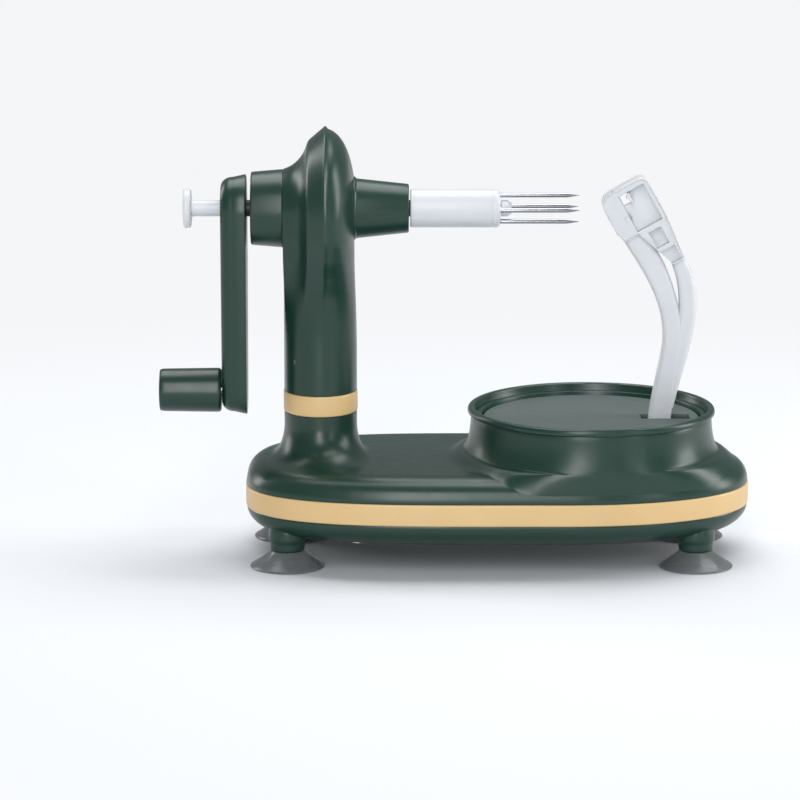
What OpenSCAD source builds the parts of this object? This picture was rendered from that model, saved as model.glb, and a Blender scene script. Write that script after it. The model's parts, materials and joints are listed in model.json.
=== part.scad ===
// Hand-cranked fruit peeler: a crank turns a fork, and a gear train carries a sprung blade arm round the fruit.
// +X runs from the column to the dish, +Z is up, and Z = 0 is the surface that the suction cups stand on.

/* [Base] */
// From the column axis back to the flat end of the base
base_back_reach = 28; // [24:0.5:36]
// From the dish axis forward to the rounded end of the base
base_front_reach = 59; // [50:0.5:72]
// Overall width of the base
base_width = 94; // [94:1:116]
// Height of the underside of the pan
pan_low = 10; // [8.3:0.5:12]
// Height of the lower edge of the trim band round the base
base_band_low = 20; // [19:0.5:24]
// Height of the trim band round the base
base_band_height = 8; // [6:0.5:10]
// Depth of the top cover above the trim band
cover_depth = 9; // [8:0.5:12]
// Wall of the moulded covers
wall = 2.2; // [1.8:0.1:2.7]
// Diameter of a suction cup at the floor
cup_diameter = 27.6; // [22:0.2:33]
// Diameter of the post over each cup
post_diameter = 12.8; // [10.6:0.2:15.4]

/* [Dish] */
// Outer diameter of the lip
lip_diameter = 92.3; // [92:0.1:93]
// Height of the dish above the top cover
dish_height = 18.5; // [16:0.5:23]
// Wall of the dish under its lip
dish_wall = 2.1; // [1.8:0.1:2.6]
// Width of the rim ring round the turntable
rim_ring_width = 2.3; // [1.9:0.1:2.8]
// Depth of the turntable's face below the lip
disc_depth = 4; // [3.3:0.1:4.8]
// Thickness of the turntable disc
disc_thickness = 2.5; // [2:0.1:3]

/* [Column] */
// Place of the column axis along the base
column_x = -50; // [-60:0.5:-41.5]
// Width of the column along the base
column_width = 27.1; // [26.5:0.1:32.5]
// Depth of the column across the base
column_depth = 31; // [30:0.1:37]
// Height of the column's foot above the top cover
foot_height = 17.2; // [14:0.1:21]
// Height of the trim band round the column
column_band_height = 7.6; // [6.3:0.1:9.2]
// Height of the crank and fork axis
axis_z = 130; // [125:0.5:156]
// Radius of the round head on the column
head_radius = 30.5; // [28:0.5:36.5]
// Diameter of the crank boss
boss_diameter = 29; // [26:0.2:34]
// Length of the crank boss
boss_length = 12; // [10:0.1:14.4]
// Diameter of the nose at its root
nose_root_diameter = 22.3; // [20:0.1:26]
// Diameter of the nose at its tip
nose_tip_diameter = 18; // [15:0.1:20]
// Length of the nose
nose_length = 20.3; // [17:0.1:24]

/* [Crank] */
// Distance from the crank axis to the knob axis
crank_radius = 68.5; // [57:0.5:78]
// Thickness of the crank arm
crank_thickness = 9.4; // [8.6:0.1:11.3]
// Radius of the crank arm round the main shaft
crank_top_radius = 12.6; // [10.5:0.1:15]
// Radius of the crank arm round the knob
crank_end_radius = 9; // [7.5:0.1:10.8]
// Diameter of the knob
knob_diameter = 16.5; // [13.8:0.1:19.8]
// Length of the knob
knob_length = 23; // [19:0.1:27.6]

/* [Fork and ejector] */
// Diameter of the fork tube
fork_tube_diameter = 14.2; // [14:0.1:17]
// Length of the fork tube
fork_tube_length = 33.2; // [27.7:0.1:39.8]
// Diameter of a fork pin
pin_diameter = 1.7; // [1.4:0.1:2]
// Diameter of the circle that the fork pins stand on
pin_circle = 9.8; // [9.2:0.1:10.6]
// Length of the fork pins beyond the tube
pin_reach = 29.4; // [24.5:0.1:35]
// Diameter of the ejector button
button_diameter = 14.8; // [12.3:0.1:17.7]
// Travel of the ejector
ejector_travel = 8; // [6.5:0.1:8.2]

/* [Drive] */
// Module of all gears
gear_module = 1; // [1:0.01:1.02]
// Teeth of each pinion
pinion_teeth = 16; // [16]
// Teeth of each reduction wheel
wheel_teeth = 44; // [44]
// Teeth of the turntable gear
table_teeth = 66; // [66]
// Teeth of each bevel gear
bevel_teeth = 18; // [18]
// Face width of the spur gears
gear_width = 4; // [3.4:0.1:4.4]
// Diameter of the main shaft
main_shaft_diameter = 6.1; // [5.8:0.1:6.6]
// Diameter of the vertical shaft
vertical_shaft_diameter = 6; // [5:0.1:6.6]
// Diameter of the axles of the reduction gears
axle_diameter = 4; // [3.4:0.1:4.8]
// Diameter of the turntable spindle
spindle_diameter = 8; // [6.7:0.1:9.6]

/* [Peeling arm] */
// Distance from the dish axis to the arm's pivot
arm_pivot_reach = 24; // [22:0.5:25]
// Depth of the arm across its swing
arm_depth = 7; // [5.9:0.1:8.2]
// Depth of the blade holder across its swing
holder_depth = 11; // [10:0.1:11.4]
// Lean of the blade holder from upright, in degrees
holder_lean = 29; // [24:0.5:32]

/* [Fits] */
// Radial clearance of a shaft in its bearing
running_clearance = 0.05; // [0.02:0.01:0.09]
// Gap between neighbours that move past each other
moving_gap = 0.3; // [0.25:0.05:0.4]
// Thinning of each gear tooth flank, for backlash
flank_thinning = 0.09; // [0.08:0.01:0.1]

/* [Hidden] */
$fn = 64;
eps = 0.01;
green = [0.22, 0.36, 0.31];
dark_green = [0.14, 0.25, 0.21];
disc_green = [0.36, 0.42, 0.4];
gold = [0.86, 0.72, 0.5];
white = [0.9, 0.92, 0.94];
steel = [0.75, 0.76, 0.78];
brass = [0.78, 0.66, 0.36];
clear_grey = [0.72, 0.75, 0.76];
black = [0.1, 0.1, 0.1];

// Heights of the base
band_top = base_band_low + base_band_height;
cover_top = band_top + cover_depth;
pan_floor = pan_low + wall;
lip_z = cover_top + dish_height;
disc_top = lip_z - disc_depth;
disc_low = disc_top - disc_thickness;
band_relief = 0.4;

// The gear train, from the column to the dish
pinion_pitch = gear_module * pinion_teeth / 2;
wheel_pitch = gear_module * wheel_teeth / 2;
table_pitch = gear_module * table_teeth / 2;
gear_step = pinion_pitch + wheel_pitch;
first_x = column_x + gear_step;
second_x = first_x + gear_step;
dish_x = second_x + pinion_pitch + table_pitch;
pressure_angle = 20;
layer_gap = 1.5;
gear_low = pan_floor + 1.8;
layer_1 = gear_low;
layer_2 = layer_1 + gear_width + layer_gap;
layer_3 = layer_2 + gear_width + layer_gap;
layer_3_top = layer_3 + gear_width;
bearing_boss = 1.4;

// The outline of the base: a superellipse at each end
back_x = column_x - base_back_reach;
front_x = dish_x + base_front_reach;
back_centre = column_x + 60;
front_centre = dish_x - 11;
back_power = 3;
front_power = 2.2;
outline_points = 72;
edge_round = 10;

// The dish
lip_radius = lip_diameter / 2;
dish_outer = lip_radius - 0.9;
dish_inner = dish_outer - dish_wall;
ring_inner = dish_inner - rim_ring_width;
disc_radius = ring_inner - 0.4;
ledge_width = 1.2;
ledge_z = disc_low - 2;

// The column
half_width = column_width / 2;
half_depth = column_depth / 2;
column_band_low = cover_top + foot_height;
column_band_top = column_band_low + column_band_height;
sleeve_gap = 0.2;
sleeve_wall = 2;
sleeve_rise = 4.2;
foot_flare = 6;
bush_thickness = 5;
upper_bush_z = axis_z - 22;

// The head and what lies along the main axis
head_left = column_x - 13.5;
head_right = column_x + 12.6;
ridge_x = column_x + 1.9;
boss_end = head_left - boss_length;
nose_end = head_right + nose_length;
crank_gap = 1.8;
crank_inner = boss_end - crank_gap;
crank_outer = crank_inner - crank_thickness;
fork_start = nose_end + 0.5;
fork_end = fork_start + fork_tube_length;
pin_end = fork_end + pin_reach;
main_radius = main_shaft_diameter / 2;
rod_radius = 1.5;
plunger_radius = 3;
cup_inner = plunger_radius + 0.2;
cup_outer = cup_inner + 1.4;
cup_floor = 0.9;
bush_radius = main_radius + 2.95;
bevel_pitch = gear_module * bevel_teeth / 2;
bevel_keep = 0.62;
bevel_hub = 2;
tube_wall = 3;
tube_end_wall = 4;
tube_bore = 3.5;
collar_x = fork_start + 9.6;
collar_width = 2;
collar_radius = 3;
tip_gap = 0.4;
tip_length = 4;
button_thickness = 3.1;
plunger_end = crank_outer + moving_gap;
button_x = crank_outer - 10.8;

// The crank knob
knob_z = axis_z - crank_radius;
knob_right = crank_outer - moving_gap;
knob_left = knob_right - knob_length;
knob_axle_radius = 2.5;
knob_cap_depth = 1.2;
axle_head_radius = 3.6;
axle_head_depth = 1.8;

// The vertical shaft
vertical_radius = vertical_shaft_diameter / 2;
vertical_low = pan_low + 2.4;
vertical_top = axis_z - bevel_pitch + 2.5;

// The peeling arm
arm_pivot_x = dish_x + arm_pivot_reach;
arm_pivot_z = disc_top - 12;
arm_hub_radius = 4;
arm_pin_radius = 1.5;
ear_start = arm_depth / 2 + 3.1;
ear_thickness = 1.8;
ear_half_width = 5;
slot_start = dish_x + 18.6;
slot_end = dish_x + 36.6;
slot_half_width = arm_depth / 2 + 1;
arm_rise = axis_z - arm_pivot_z;
// The arm's edges are drawn for this rise, and follow it
drawn_rise = 90.5;
stretch = arm_rise / drawn_rise;
arm_left_edge = [
    [-4, 0], [-3, 11.2], [-1.9, 19.3], [0.7, 30.3], [2.3, 39], [2.1, 46.6], [-0.9, 58.4], [-7.3, 70.3], [-12.6, 78.3]
];
arm_right_edge = [[4, 0], [5.8, 11.2], [7.7, 25.9], [10.9, 36.7], [14.1, 47.7], [14.1, 60.5], [9.6, 72.5]];
window_low = [7.5, 54.5];
window_high = [0.7, 74];
window_bulge = 2;
holder_x = arm_pivot_x - 9.4;
holder_z = axis_z + 0.1;
plate_thickness = 1.6;
holder_half = holder_depth / 2;
blade_half = holder_half - plate_thickness - moving_gap;
blade_pivot = [-3.5, -2];
blade_pin_radius = 0.8;
blade_thickness = 0.6;

// The feet and the screws
foot_back_x = column_x - 12;
foot_front_x = dish_x + 38;
foot_y = 24;
feet = [for (x = [foot_back_x, foot_front_x]) for (y = [-foot_y, foot_y]) [x, y]];
cup_height = pan_low - 4;
cup_stem_radius = 2.9;
screw_spots = [
    [column_x + 14, base_width / 2 - 14], [column_x + 14, 14 - base_width / 2],
    [second_x + 2, base_width / 2 - 12], [second_x + 2, 12 - base_width / 2],
    [dish_x + 39.2, 0]
];
screw_seat_z = pan_low + 3;
screw_radius = 1.25;
screw_head_radius = 2.6;
screw_head_depth = 1.7;
screw_length = 14;
housing_screw_y = 9;
housing_screw_heights = [column_band_top + 12, upper_bush_z - 5];

// ---- Points and shapes that several pieces share ----

function ellipse_points(rx, ry, n = 48) = [for (i = [0:n - 1]) [rx * cos(360 * i / n), ry * sin(360 * i / n)]];

function arc_points(centre, radius, from, to, n = 10) =
    [for (i = [0:n]) let (a = from + (to - from) * i / n) centre + radius * [cos(a), sin(a)]];

function bezier(a, b, c, n = 8) =
    [for (i = [0:n]) let (t = i / n) (1 - t) * (1 - t) * a + 2 * t * (1 - t) * b + t * t * c];

function raised(points, z) = [for (p = points) [p[0], p[1], z]];

// A smooth curve through points, four steps to a span
function smooth(p, n = 4) = concat(
    [for (i = [0:len(p) - 2]) for (k = [0:n - 1]) let (
        t = k / n,
        a = p[max(i - 1, 0)],
        b = p[i],
        c = p[i + 1],
        d = p[min(i + 2, len(p) - 1)]
    ) 0.5 * (2 * b + (c - a) * t + (2 * a - 5 * b + 4 * c - d) * t * t + (3 * b - a - 3 * c + d) * t * t * t)],
    [p[len(p) - 1]]
);

function backwards(p) = [for (i = [len(p) - 1:-1:0]) p[i]];

// The outline of the base, drawn in by an inset
function outline_x(a, inset) =
    cos(a) < 0
        ? back_centre - (back_centre - back_x - inset) * pow(-cos(a), 2 / back_power)
        : front_centre + (front_x - front_centre - inset) * pow(cos(a), 2 / front_power);

function outline_y(a, inset) =
    (base_width / 2 - inset) * sign(sin(a)) * pow(abs(sin(a)), 2 / (cos(a) < 0 ? back_power : front_power));

function base_outline(inset) =
    [for (i = [0:outline_points - 1]) let (a = 360 * (i + 0.5) / outline_points)
        [outline_x(a, inset), outline_y(a, inset)]];

// A closed solid through rings of as many points each, lowest first
module skin(rings) {
    n = len(rings[0]);
    last = (len(rings) - 1) * n;
    points = [for (ring = rings) for (p = ring) p];
    sides = [for (i = [0:len(rings) - 2]) for (j = [0:n - 1])
        [i * n + j, (i + 1) * n + j, (i + 1) * n + (j + 1) % n, i * n + (j + 1) % n]];
    bottom = [for (j = [0:n - 1]) j];
    top = [for (j = [n - 1:-1:0]) last + j];
    polyhedron(points, concat([bottom], sides, [top]), convexity = 6);
}

// Levels are pairs of height and inset
module base_skin(levels) {
    skin([for (level = levels) raised(base_outline(level[1]), level[0])]);
}

module prism(points, low, high) {
    translate([0, 0, low]) linear_extrude(high - low) polygon(points);
}

module column_prism(rx, ry, low, high) {
    translate([column_x, 0, 0]) prism(ellipse_points(rx, ry), low, high);
}

// A cylinder along the main axis, from one place to another
module along_x(radius, from, to, end_radius = -1) {
    translate([from, 0, 0]) rotate([0, 90, 0])
        cylinder(h = to - from, r1 = radius, r2 = end_radius < 0 ? radius : end_radius);
}

module at_axis() {
    translate([0, 0, axis_z]) children();
}

// A solid of revolution about X, from points of place and radius
module turned_x(points) {
    rotate([0, 90, 0]) rotate_extrude() polygon([for (p = points) [p[1], p[0]]]);
}

module post(spot, radius, low, high) {
    translate([spot[0], spot[1], low]) cylinder(h = high - low, r = radius);
}

// A coil along Z
module coil(mean_radius, wire_radius, length, turns) {
    steps = 14;
    sides = 8;
    skin([for (k = [0:turns * steps]) let (a = 360 * k / steps, z = length * k / (turns * steps))
        [for (s = [0:sides - 1]) let (b = 360 * s / sides, out = mean_radius + wire_radius * sin(b))
            [out * cos(a), out * sin(a), z + wire_radius * cos(b)]]]);
}

// ---- Gears ----

function involute(a) = tan(a) * 180 / PI - a;

// Half of a tooth's angle at a radius
function tooth_angle(radius, pitch, teeth) = let (base = pitch * cos(pressure_angle))
    90 / teeth - flank_thinning / pitch * 180 / PI + involute(pressure_angle)
    - involute(acos(min(1, base / max(radius, base))));

function tooth_radii(pitch, m) = let (
    root = pitch - 1.25 * m,
    base = max(pitch * cos(pressure_angle), root + 0.1 * m)
) [root, base, pitch, pitch + 0.5 * m, pitch + m];

function gear_points(teeth, m) = let (pitch = m * teeth / 2, radii = tooth_radii(pitch, m))
    [for (i = [0:teeth - 1]) for (side = [-1, 1]) for (k = [0:4]) let (
        radius = radii[side < 0 ? k : 4 - k],
        a = 360 * i / teeth + side * tooth_angle(radius, pitch, teeth)
    ) radius * [cos(a), sin(a)]];

// The tooth outline at the large end of a mitre gear, with its cones meeting one pitch radius away
function bevel_points(teeth, m) = let (
    pitch = m * teeth / 2,
    back = pitch / cos(45),
    radii = tooth_radii(back, m)
) [for (i = [0:teeth - 1]) for (side = [-1, 1]) for (k = [0:4]) let (
        radius = radii[side < 0 ? k : 4 - k],
        a = 360 * i / teeth + side * tooth_angle(radius, back, teeth / cos(45)) / cos(45),
        r = pitch * tan(45 + atan((radius - back) / back))
    ) r * [cos(a), sin(a)]];

module spur(teeth, low, high, turn = 0) {
    translate([0, 0, low]) rotate([0, 0, turn]) linear_extrude(high - low) polygon(gear_points(teeth, gear_module));
}

module bevel(turn = 0) {
    rotate([0, 0, turn])
        linear_extrude(bevel_pitch * (1 - bevel_keep), scale = bevel_keep) polygon(bevel_points(bevel_teeth, gear_module));
}

// ---- Base ----

cover_levels = [
    [band_top, band_relief], [cover_top - 6, 1], [cover_top - 3.5, 2.4], [cover_top - 1.5, 4.8],
    [cover_top - 0.4, 7.2], [cover_top, edge_round]
];
cover_hollow = [
    [band_top - eps, band_relief + wall], [cover_top - 6, 1 + wall], [cover_top - 3.5 - wall / 2, 2.4 + wall],
    [cover_top - 0.6 - wall, 5 + wall], [cover_top - wall, edge_round + wall]
];
pan_levels = [
    [pan_low, 19], [pan_low + 0.7, 13], [pan_low + 2, 8], [pan_low + 4, 4], [base_band_low - 3, 1.2],
    [base_band_low, band_relief]
];
pan_hollow = [
    [pan_floor, 19 + wall], [pan_floor + 0.8, 12 + wall], [pan_floor + 2, 7 + wall], [pan_floor + 4, 3 + wall],
    [base_band_low + eps, band_relief + wall]
];

module dish_body() {
    translate([dish_x, 0, 0]) rotate_extrude() polygon([
        [0, cover_top - wall], [dish_outer + 0.7, cover_top - wall], [dish_outer + 0.7, cover_top + 2],
        [dish_outer + 0.4, cover_top + 6], [dish_outer, cover_top + 11], [dish_outer, lip_z - 2.2],
        [lip_radius, lip_z - 1.8], [lip_radius, lip_z - 0.5], [lip_radius - 0.5, lip_z], [0, lip_z]
    ]);
}

// Where the dish is as wide as the base, its wall runs down to the trim band
module dish_skirt() {
    intersection() {
        post([dish_x, 0], dish_outer + 0.7, band_top, cover_top);
        base_skin([[band_top, band_relief], [cover_top + 1, band_relief + 0.3]]);
    }
}

module column_foot() {
    skin([for (level = [[cover_top - wall, 1], [cover_top, 1], [cover_top + 1.2, 0.5], [cover_top + 2.8, 0.2],
            [cover_top + foot_flare, 0], [column_band_low, 0]])
        [for (p = ellipse_points(half_width + foot_flare * level[1], half_depth + foot_flare * level[1]))
            [column_x + p[0], p[1], level[0]]]]);
}

sleeve_x = half_width - wall - sleeve_gap;
sleeve_y = half_depth - wall - sleeve_gap;

module base_top_shell() {
    color(green) difference() {
        union() {
            difference() {
                union() {
                    base_skin(cover_levels);
                    dish_body();
                    dish_skirt();
                    column_foot();
                    column_prism(sleeve_x, sleeve_y, column_band_low - eps, column_band_top + sleeve_rise);
                }
                base_skin(cover_hollow);
                post([dish_x, 0], dish_inner - ledge_width, band_top - 1, lip_z);
                post([dish_x, 0], dish_inner, ledge_z, lip_z + 1);
            }
            for (spot = screw_spots) post(spot, 3.2, base_band_low - 5, cover_top - wall + eps);
        }
        column_prism(sleeve_x - sleeve_wall, sleeve_y - sleeve_wall, band_top, column_band_top + sleeve_rise + 1);
        for (spot = screw_spots) post(spot, screw_radius, base_band_low - 6, base_band_low + 8);
    }
}

module base_bottom_pan() {
    color(dark_green) difference() {
        union() {
            difference() {
                union() {
                    base_skin(pan_levels);
                    base_skin([[base_band_low - eps, wall + 0.2], [base_band_low + base_band_height / 2, wall + 0.2]]);
                }
                base_skin(pan_hollow);
                base_skin([[base_band_low, 2 * wall], [band_top, 2 * wall]]);
            }
            for (spot = feet) post(spot, post_diameter / 2, cup_height, pan_floor + 2);
            intersection() {
                base_skin(pan_levels);
                for (spot = screw_spots) post(spot, 4.2, pan_low, base_band_low - 5);
            }
            post([column_x, 0], vertical_radius + 3, pan_floor - eps, pan_floor + bearing_boss);
            for (x = [first_x, second_x]) post([x, 0], axle_diameter / 2 + 3, pan_floor - eps, pan_floor + bearing_boss);
            post([dish_x, 0], spindle_diameter / 2 + 4, pan_floor - eps, pan_floor + 4);
        }
        for (spot = feet) post(spot, cup_stem_radius, cup_height - 1, pan_floor);
        for (spot = screw_spots) {
            post(spot, screw_radius + 0.3, pan_low, base_band_low);
            post(spot, screw_head_radius + 0.2, pan_low - 1, screw_seat_z);
        }
        post([column_x, 0], vertical_radius + running_clearance, vertical_low - 0.2, pan_floor + 5);
        for (x = [first_x, second_x]) post([x, 0], axle_diameter / 2, pan_floor - 1, pan_floor + 5);
        post([dish_x, 0], spindle_diameter / 2, pan_floor - 1, pan_floor + 5);
    }
}

module base_trim_band() {
    color(gold) difference() {
        base_skin([[base_band_low, 0.35], [base_band_low + 0.5, 0], [band_top - 0.5, 0], [band_top, 0.35]]);
        base_skin([[base_band_low - 1, wall], [band_top + 1, wall]]);
    }
}

module column_trim_band() {
    color(gold) difference() {
        column_prism(half_width + 0.3, half_depth + 0.3, column_band_low, column_band_top);
        column_prism(sleeve_x, sleeve_y, column_band_low - 1, column_band_top + 1);
    }
}

module suction_cups() {
    color(clear_grey) for (spot = feet) translate([spot[0], spot[1], 0]) rotate_extrude() polygon(concat(
        [[0, pan_floor - 1], [cup_stem_radius, pan_floor - 1], [cup_stem_radius, cup_height]],
        bezier([post_diameter / 2 - 0.2, cup_height], [post_diameter / 2 + 1, 2.6], [cup_diameter / 2, 0.5], 6),
        [[cup_diameter / 2, 0], [cup_diameter / 2 - 1, 0]],
        bezier([cup_diameter / 2 - 1.4, 0.4], [post_diameter / 2, 1.4], [0, cup_height - 1.6], 6)
    ));
}

module base_screws() {
    color(steel) for (spot = screw_spots) {
        post(spot, screw_head_radius, screw_seat_z - screw_head_depth, screw_seat_z);
        post(spot, screw_radius, screw_seat_z - eps, screw_seat_z + screw_length);
    }
}

// ---- Column and head ----

head_profile = concat(
    [[head_left, 0]],
    bezier([head_left, boss_diameter / 2 + 0.2], [column_x - 6.5, boss_diameter / 2 + 3], [column_x - 4.2, head_radius - 5.2]),
    bezier([ridge_x, head_radius], [column_x + 9, head_radius - 4.5], [head_right, nose_root_diameter / 2 + 0.85]),
    [[head_right, 0]]
);
head_hollow = [
    [head_left + wall, 0], [head_left + wall, boss_diameter / 2 - 2.5], [column_x - 5, head_radius - 10.5],
    [ridge_x - 0.5, head_radius - 3.6], [column_x + 6.5, head_radius - 8.5],
    [head_right - wall, nose_root_diameter / 2 - 1], [head_right - wall, 0]
];

module housing() {
    difference() {
        union() {
            at_axis() turned_x(head_profile);
            column_prism(half_width, half_depth, column_band_top, axis_z - nose_root_diameter / 2 - 3);
        }
        difference() {
            union() {
                at_axis() turned_x(head_hollow);
                column_prism(half_width - wall, half_depth - wall, column_band_top - 1, axis_z - bevel_pitch + 1.5);
            }
            for (z = housing_screw_heights) for (y = [-housing_screw_y, housing_screw_y])
                translate([0, y, z]) along_x(3.4, column_x - half_width, column_x + half_width);
        }
        at_axis() along_x(bush_radius, head_left - 1, head_right + 1);
        for (z = housing_screw_heights) for (y = [-housing_screw_y, housing_screw_y]) translate([0, y, z]) {
            along_x(screw_radius, column_x - half_width, column_x + 7);
            along_x(screw_head_radius, column_x - half_width - 1, column_x - 8);
        }
    }
}

module half_space(side) {
    reach = 100;
    translate([side < 0 ? column_x - reach : column_x, -reach, 0]) cube([reach, 2 * reach, axis_z + reach]);
}

module gear_housing_left() {
    color(green) intersection() {
        housing();
        half_space(-1);
    }
}

module gear_housing_right() {
    color(green) intersection() {
        housing();
        half_space(1);
    }
}

module housing_screws() {
    color(steel) for (z = housing_screw_heights) for (y = [-housing_screw_y, housing_screw_y]) translate([0, y, z]) {
        along_x(screw_head_radius, column_x - 8 - screw_head_depth, column_x - 8);
        along_x(screw_radius, column_x - 8 - eps, column_x + 6);
    }
}

module crank_bearing_cap() {
    color(dark_green) at_axis() difference() {
        turned_x([
            [boss_end, 0], [boss_end, boss_diameter / 2 - 1.5], [boss_end + 0.5, boss_diameter / 2 - 1],
            [head_left, boss_diameter / 2], [head_left, 0]
        ]);
        along_x(main_radius + moving_gap, boss_end - 1, head_left);
        along_x(bush_radius, boss_end + 1.2, head_left + 1);
    }
}

module nose_cone() {
    color(dark_green) at_axis() difference() {
        turned_x([
            [head_right, 0], [head_right, nose_root_diameter / 2 + 0.4], [head_right + 1.2, nose_root_diameter / 2 + 0.4],
            [head_right + 1.7, nose_root_diameter / 2], [nose_end - 0.6, nose_tip_diameter / 2],
            [nose_end, nose_tip_diameter / 2 - 0.6], [nose_end, 0]
        ]);
        along_x(main_radius + moving_gap, head_right, nose_end + 1);
        along_x(bush_radius, head_right - 1, nose_end - 1.2);
    }
}

module bush(from, to) {
    color(brass) at_axis() difference() {
        along_x(bush_radius, from, to);
        along_x(main_radius + running_clearance, from - 1, to + 1);
    }
}

module crank_bush() {
    bush(boss_end + 1.2, head_left + wall);
}

module nose_bush() {
    bush(head_right - wall, nose_end - 1.2);
}

module column_bush(rx, ry, low) {
    color(white) difference() {
        column_prism(rx, ry, low, low + bush_thickness);
        post([column_x, 0], vertical_radius + running_clearance, low - 1, low + bush_thickness + 1);
    }
}

module upper_shaft_bush() {
    column_bush(half_width - wall, half_depth - wall, upper_bush_z);
}

module lower_shaft_bush() {
    column_bush(sleeve_x - sleeve_wall, sleeve_y - sleeve_wall, column_band_top + sleeve_rise - bush_thickness);
}

// ---- Drive ----

module gear_axles() {
    color(steel) {
        post([first_x, 0], axle_diameter / 2, pan_floor - 1, layer_2 + gear_width + 1.7);
        post([second_x, 0], axle_diameter / 2, pan_floor - 1, layer_3_top + 1.7);
    }
}

module clip(spot, low) {
    difference() {
        post(spot, axle_diameter / 2 + 1.6, low, low + 0.8);
        post(spot, axle_diameter / 2, low - 1, low + 2);
    }
}

module axle_clips() {
    color(steel) {
        clip([first_x, 0], layer_2 + gear_width + moving_gap);
        clip([second_x, 0], layer_3_top + moving_gap);
    }
}

hub_low = layer_3 - 1;
hub_radius = spindle_diameter / 2 + 5;

module turntable_spindle() {
    color(steel) {
        post([dish_x, 0], spindle_diameter / 2, pan_floor - 1, disc_low - 3);
        post([dish_x, 0], spindle_diameter / 2 + 2.5, pan_floor + 4, hub_low - 1.2);
    }
}

module thrust_washer() {
    color(brass) difference() {
        post([dish_x, 0], hub_radius - 0.4, hub_low - 1.2, hub_low - 0.2);
        post([dish_x, 0], spindle_diameter / 2, hub_low - 2, hub_low);
    }
}

module vertical_shaft() {
    color(steel) post([column_x, 0], vertical_radius, vertical_low, vertical_top);
}

module vertical_bevel_gear() {
    color(white) difference() {
        union() {
            translate([column_x, 0, axis_z - bevel_pitch]) bevel();
            post([column_x, 0], vertical_radius + 3, axis_z - bevel_pitch - 3, axis_z - bevel_pitch + eps);
        }
        post([column_x, 0], vertical_radius, axis_z - bevel_pitch - 4, axis_z);
    }
}

module shaft_pinion() {
    color(white) difference() {
        translate([column_x, 0, 0]) spur(pinion_teeth, layer_1, layer_1 + gear_width);
        post([column_x, 0], vertical_radius, layer_1 - 1, layer_2);
    }
}

module first_reduction_gear() {
    color(white) difference() {
        translate([first_x, 0, 0]) union() {
            spur(wheel_teeth, layer_1, layer_1 + gear_width, 180 / wheel_teeth);
            spur(pinion_teeth, layer_1 + gear_width - eps, layer_2 + gear_width);
        }
        post([first_x, 0], axle_diameter / 2 + running_clearance, layer_1 - 1, layer_3_top);
    }
}

module second_reduction_gear() {
    color(white) difference() {
        translate([second_x, 0, 0]) union() {
            spur(wheel_teeth, layer_2, layer_2 + gear_width, 180 / wheel_teeth);
            spur(pinion_teeth, layer_2 + gear_width - eps, layer_3_top);
            post([0, 0], axle_diameter / 2 + 2, layer_1, layer_2 + eps);
        }
        post([second_x, 0], axle_diameter / 2 + running_clearance, 0, layer_3_top + 1);
    }
}

module turntable_gear() {
    color(white) difference() {
        translate([dish_x, 0, 0]) spur(table_teeth, layer_3, layer_3_top, 180 / table_teeth);
        post([dish_x, 0], hub_radius, layer_3 - 1, layer_3_top + 1);
    }
}

module turntable_disc() {
    color(disc_green) difference() {
        union() {
            post([dish_x, 0], disc_radius, disc_low, disc_top);
            post([dish_x, 0], hub_radius, hub_low, disc_low + eps);
        }
        post([dish_x, 0], spindle_diameter / 2 + running_clearance, hub_low - 1, disc_low - 2.6);
        translate([slot_start, -slot_half_width, disc_low - 1])
            cube([slot_end - slot_start, 2 * slot_half_width, disc_thickness + 2]);
    }
}

module dish_rim_ring() {
    color(green) difference() {
        post([dish_x, 0], dish_inner, ledge_z, disc_top + 1.3);
        post([dish_x, 0], ring_inner, ledge_z - 1, lip_z);
    }
}

// ---- Crank, fork and ejector ----

// The crank arm's outline, seen along X, with Z as its first direction
crank_slope = asin((crank_top_radius - crank_end_radius) / crank_radius);
crank_outline = concat(
    arc_points([0, 0], crank_top_radius, 90 + crank_slope, -90 - crank_slope, 24),
    arc_points([-crank_radius, 0], crank_end_radius, 270 - crank_slope, 90 + crank_slope, 18)
);

module crank_arm() {
    color(green) at_axis() difference() {
        translate([crank_outer, 0, 0]) rotate([0, -90, 180]) linear_extrude(crank_thickness) polygon(crank_outline);
        along_x(cup_outer, crank_outer - 1, crank_inner + 1);
        translate([0, 0, -crank_radius]) along_x(knob_axle_radius, crank_outer - 1, crank_inner - 2.4);
    }
}

module main_shaft() {
    color(steel) at_axis() difference() {
        union() {
            along_x(cup_outer, crank_outer, crank_inner);
            along_x(main_radius, crank_inner - eps, fork_start + tube_wall);
        }
        along_x(cup_inner, crank_outer - 1, crank_inner - cup_floor);
        along_x(rod_radius + 0.1, crank_inner - 2, fork_start + tube_wall + 1);
    }
}

module main_bevel_gear() {
    color(white) at_axis() difference() {
        union() {
            translate([column_x - bevel_pitch, 0, 0]) rotate([0, 90, 0]) bevel(180 / bevel_teeth);
            along_x(main_radius + 3, column_x - bevel_pitch - bevel_hub, column_x - bevel_pitch + eps);
        }
        along_x(main_radius, column_x - bevel_pitch - bevel_hub - 1, column_x);
    }
}

pin_spots = [for (a = [0, 90, 180, 270]) [0, pin_circle / 2 * cos(a), pin_circle / 2 * sin(a)]];

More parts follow.
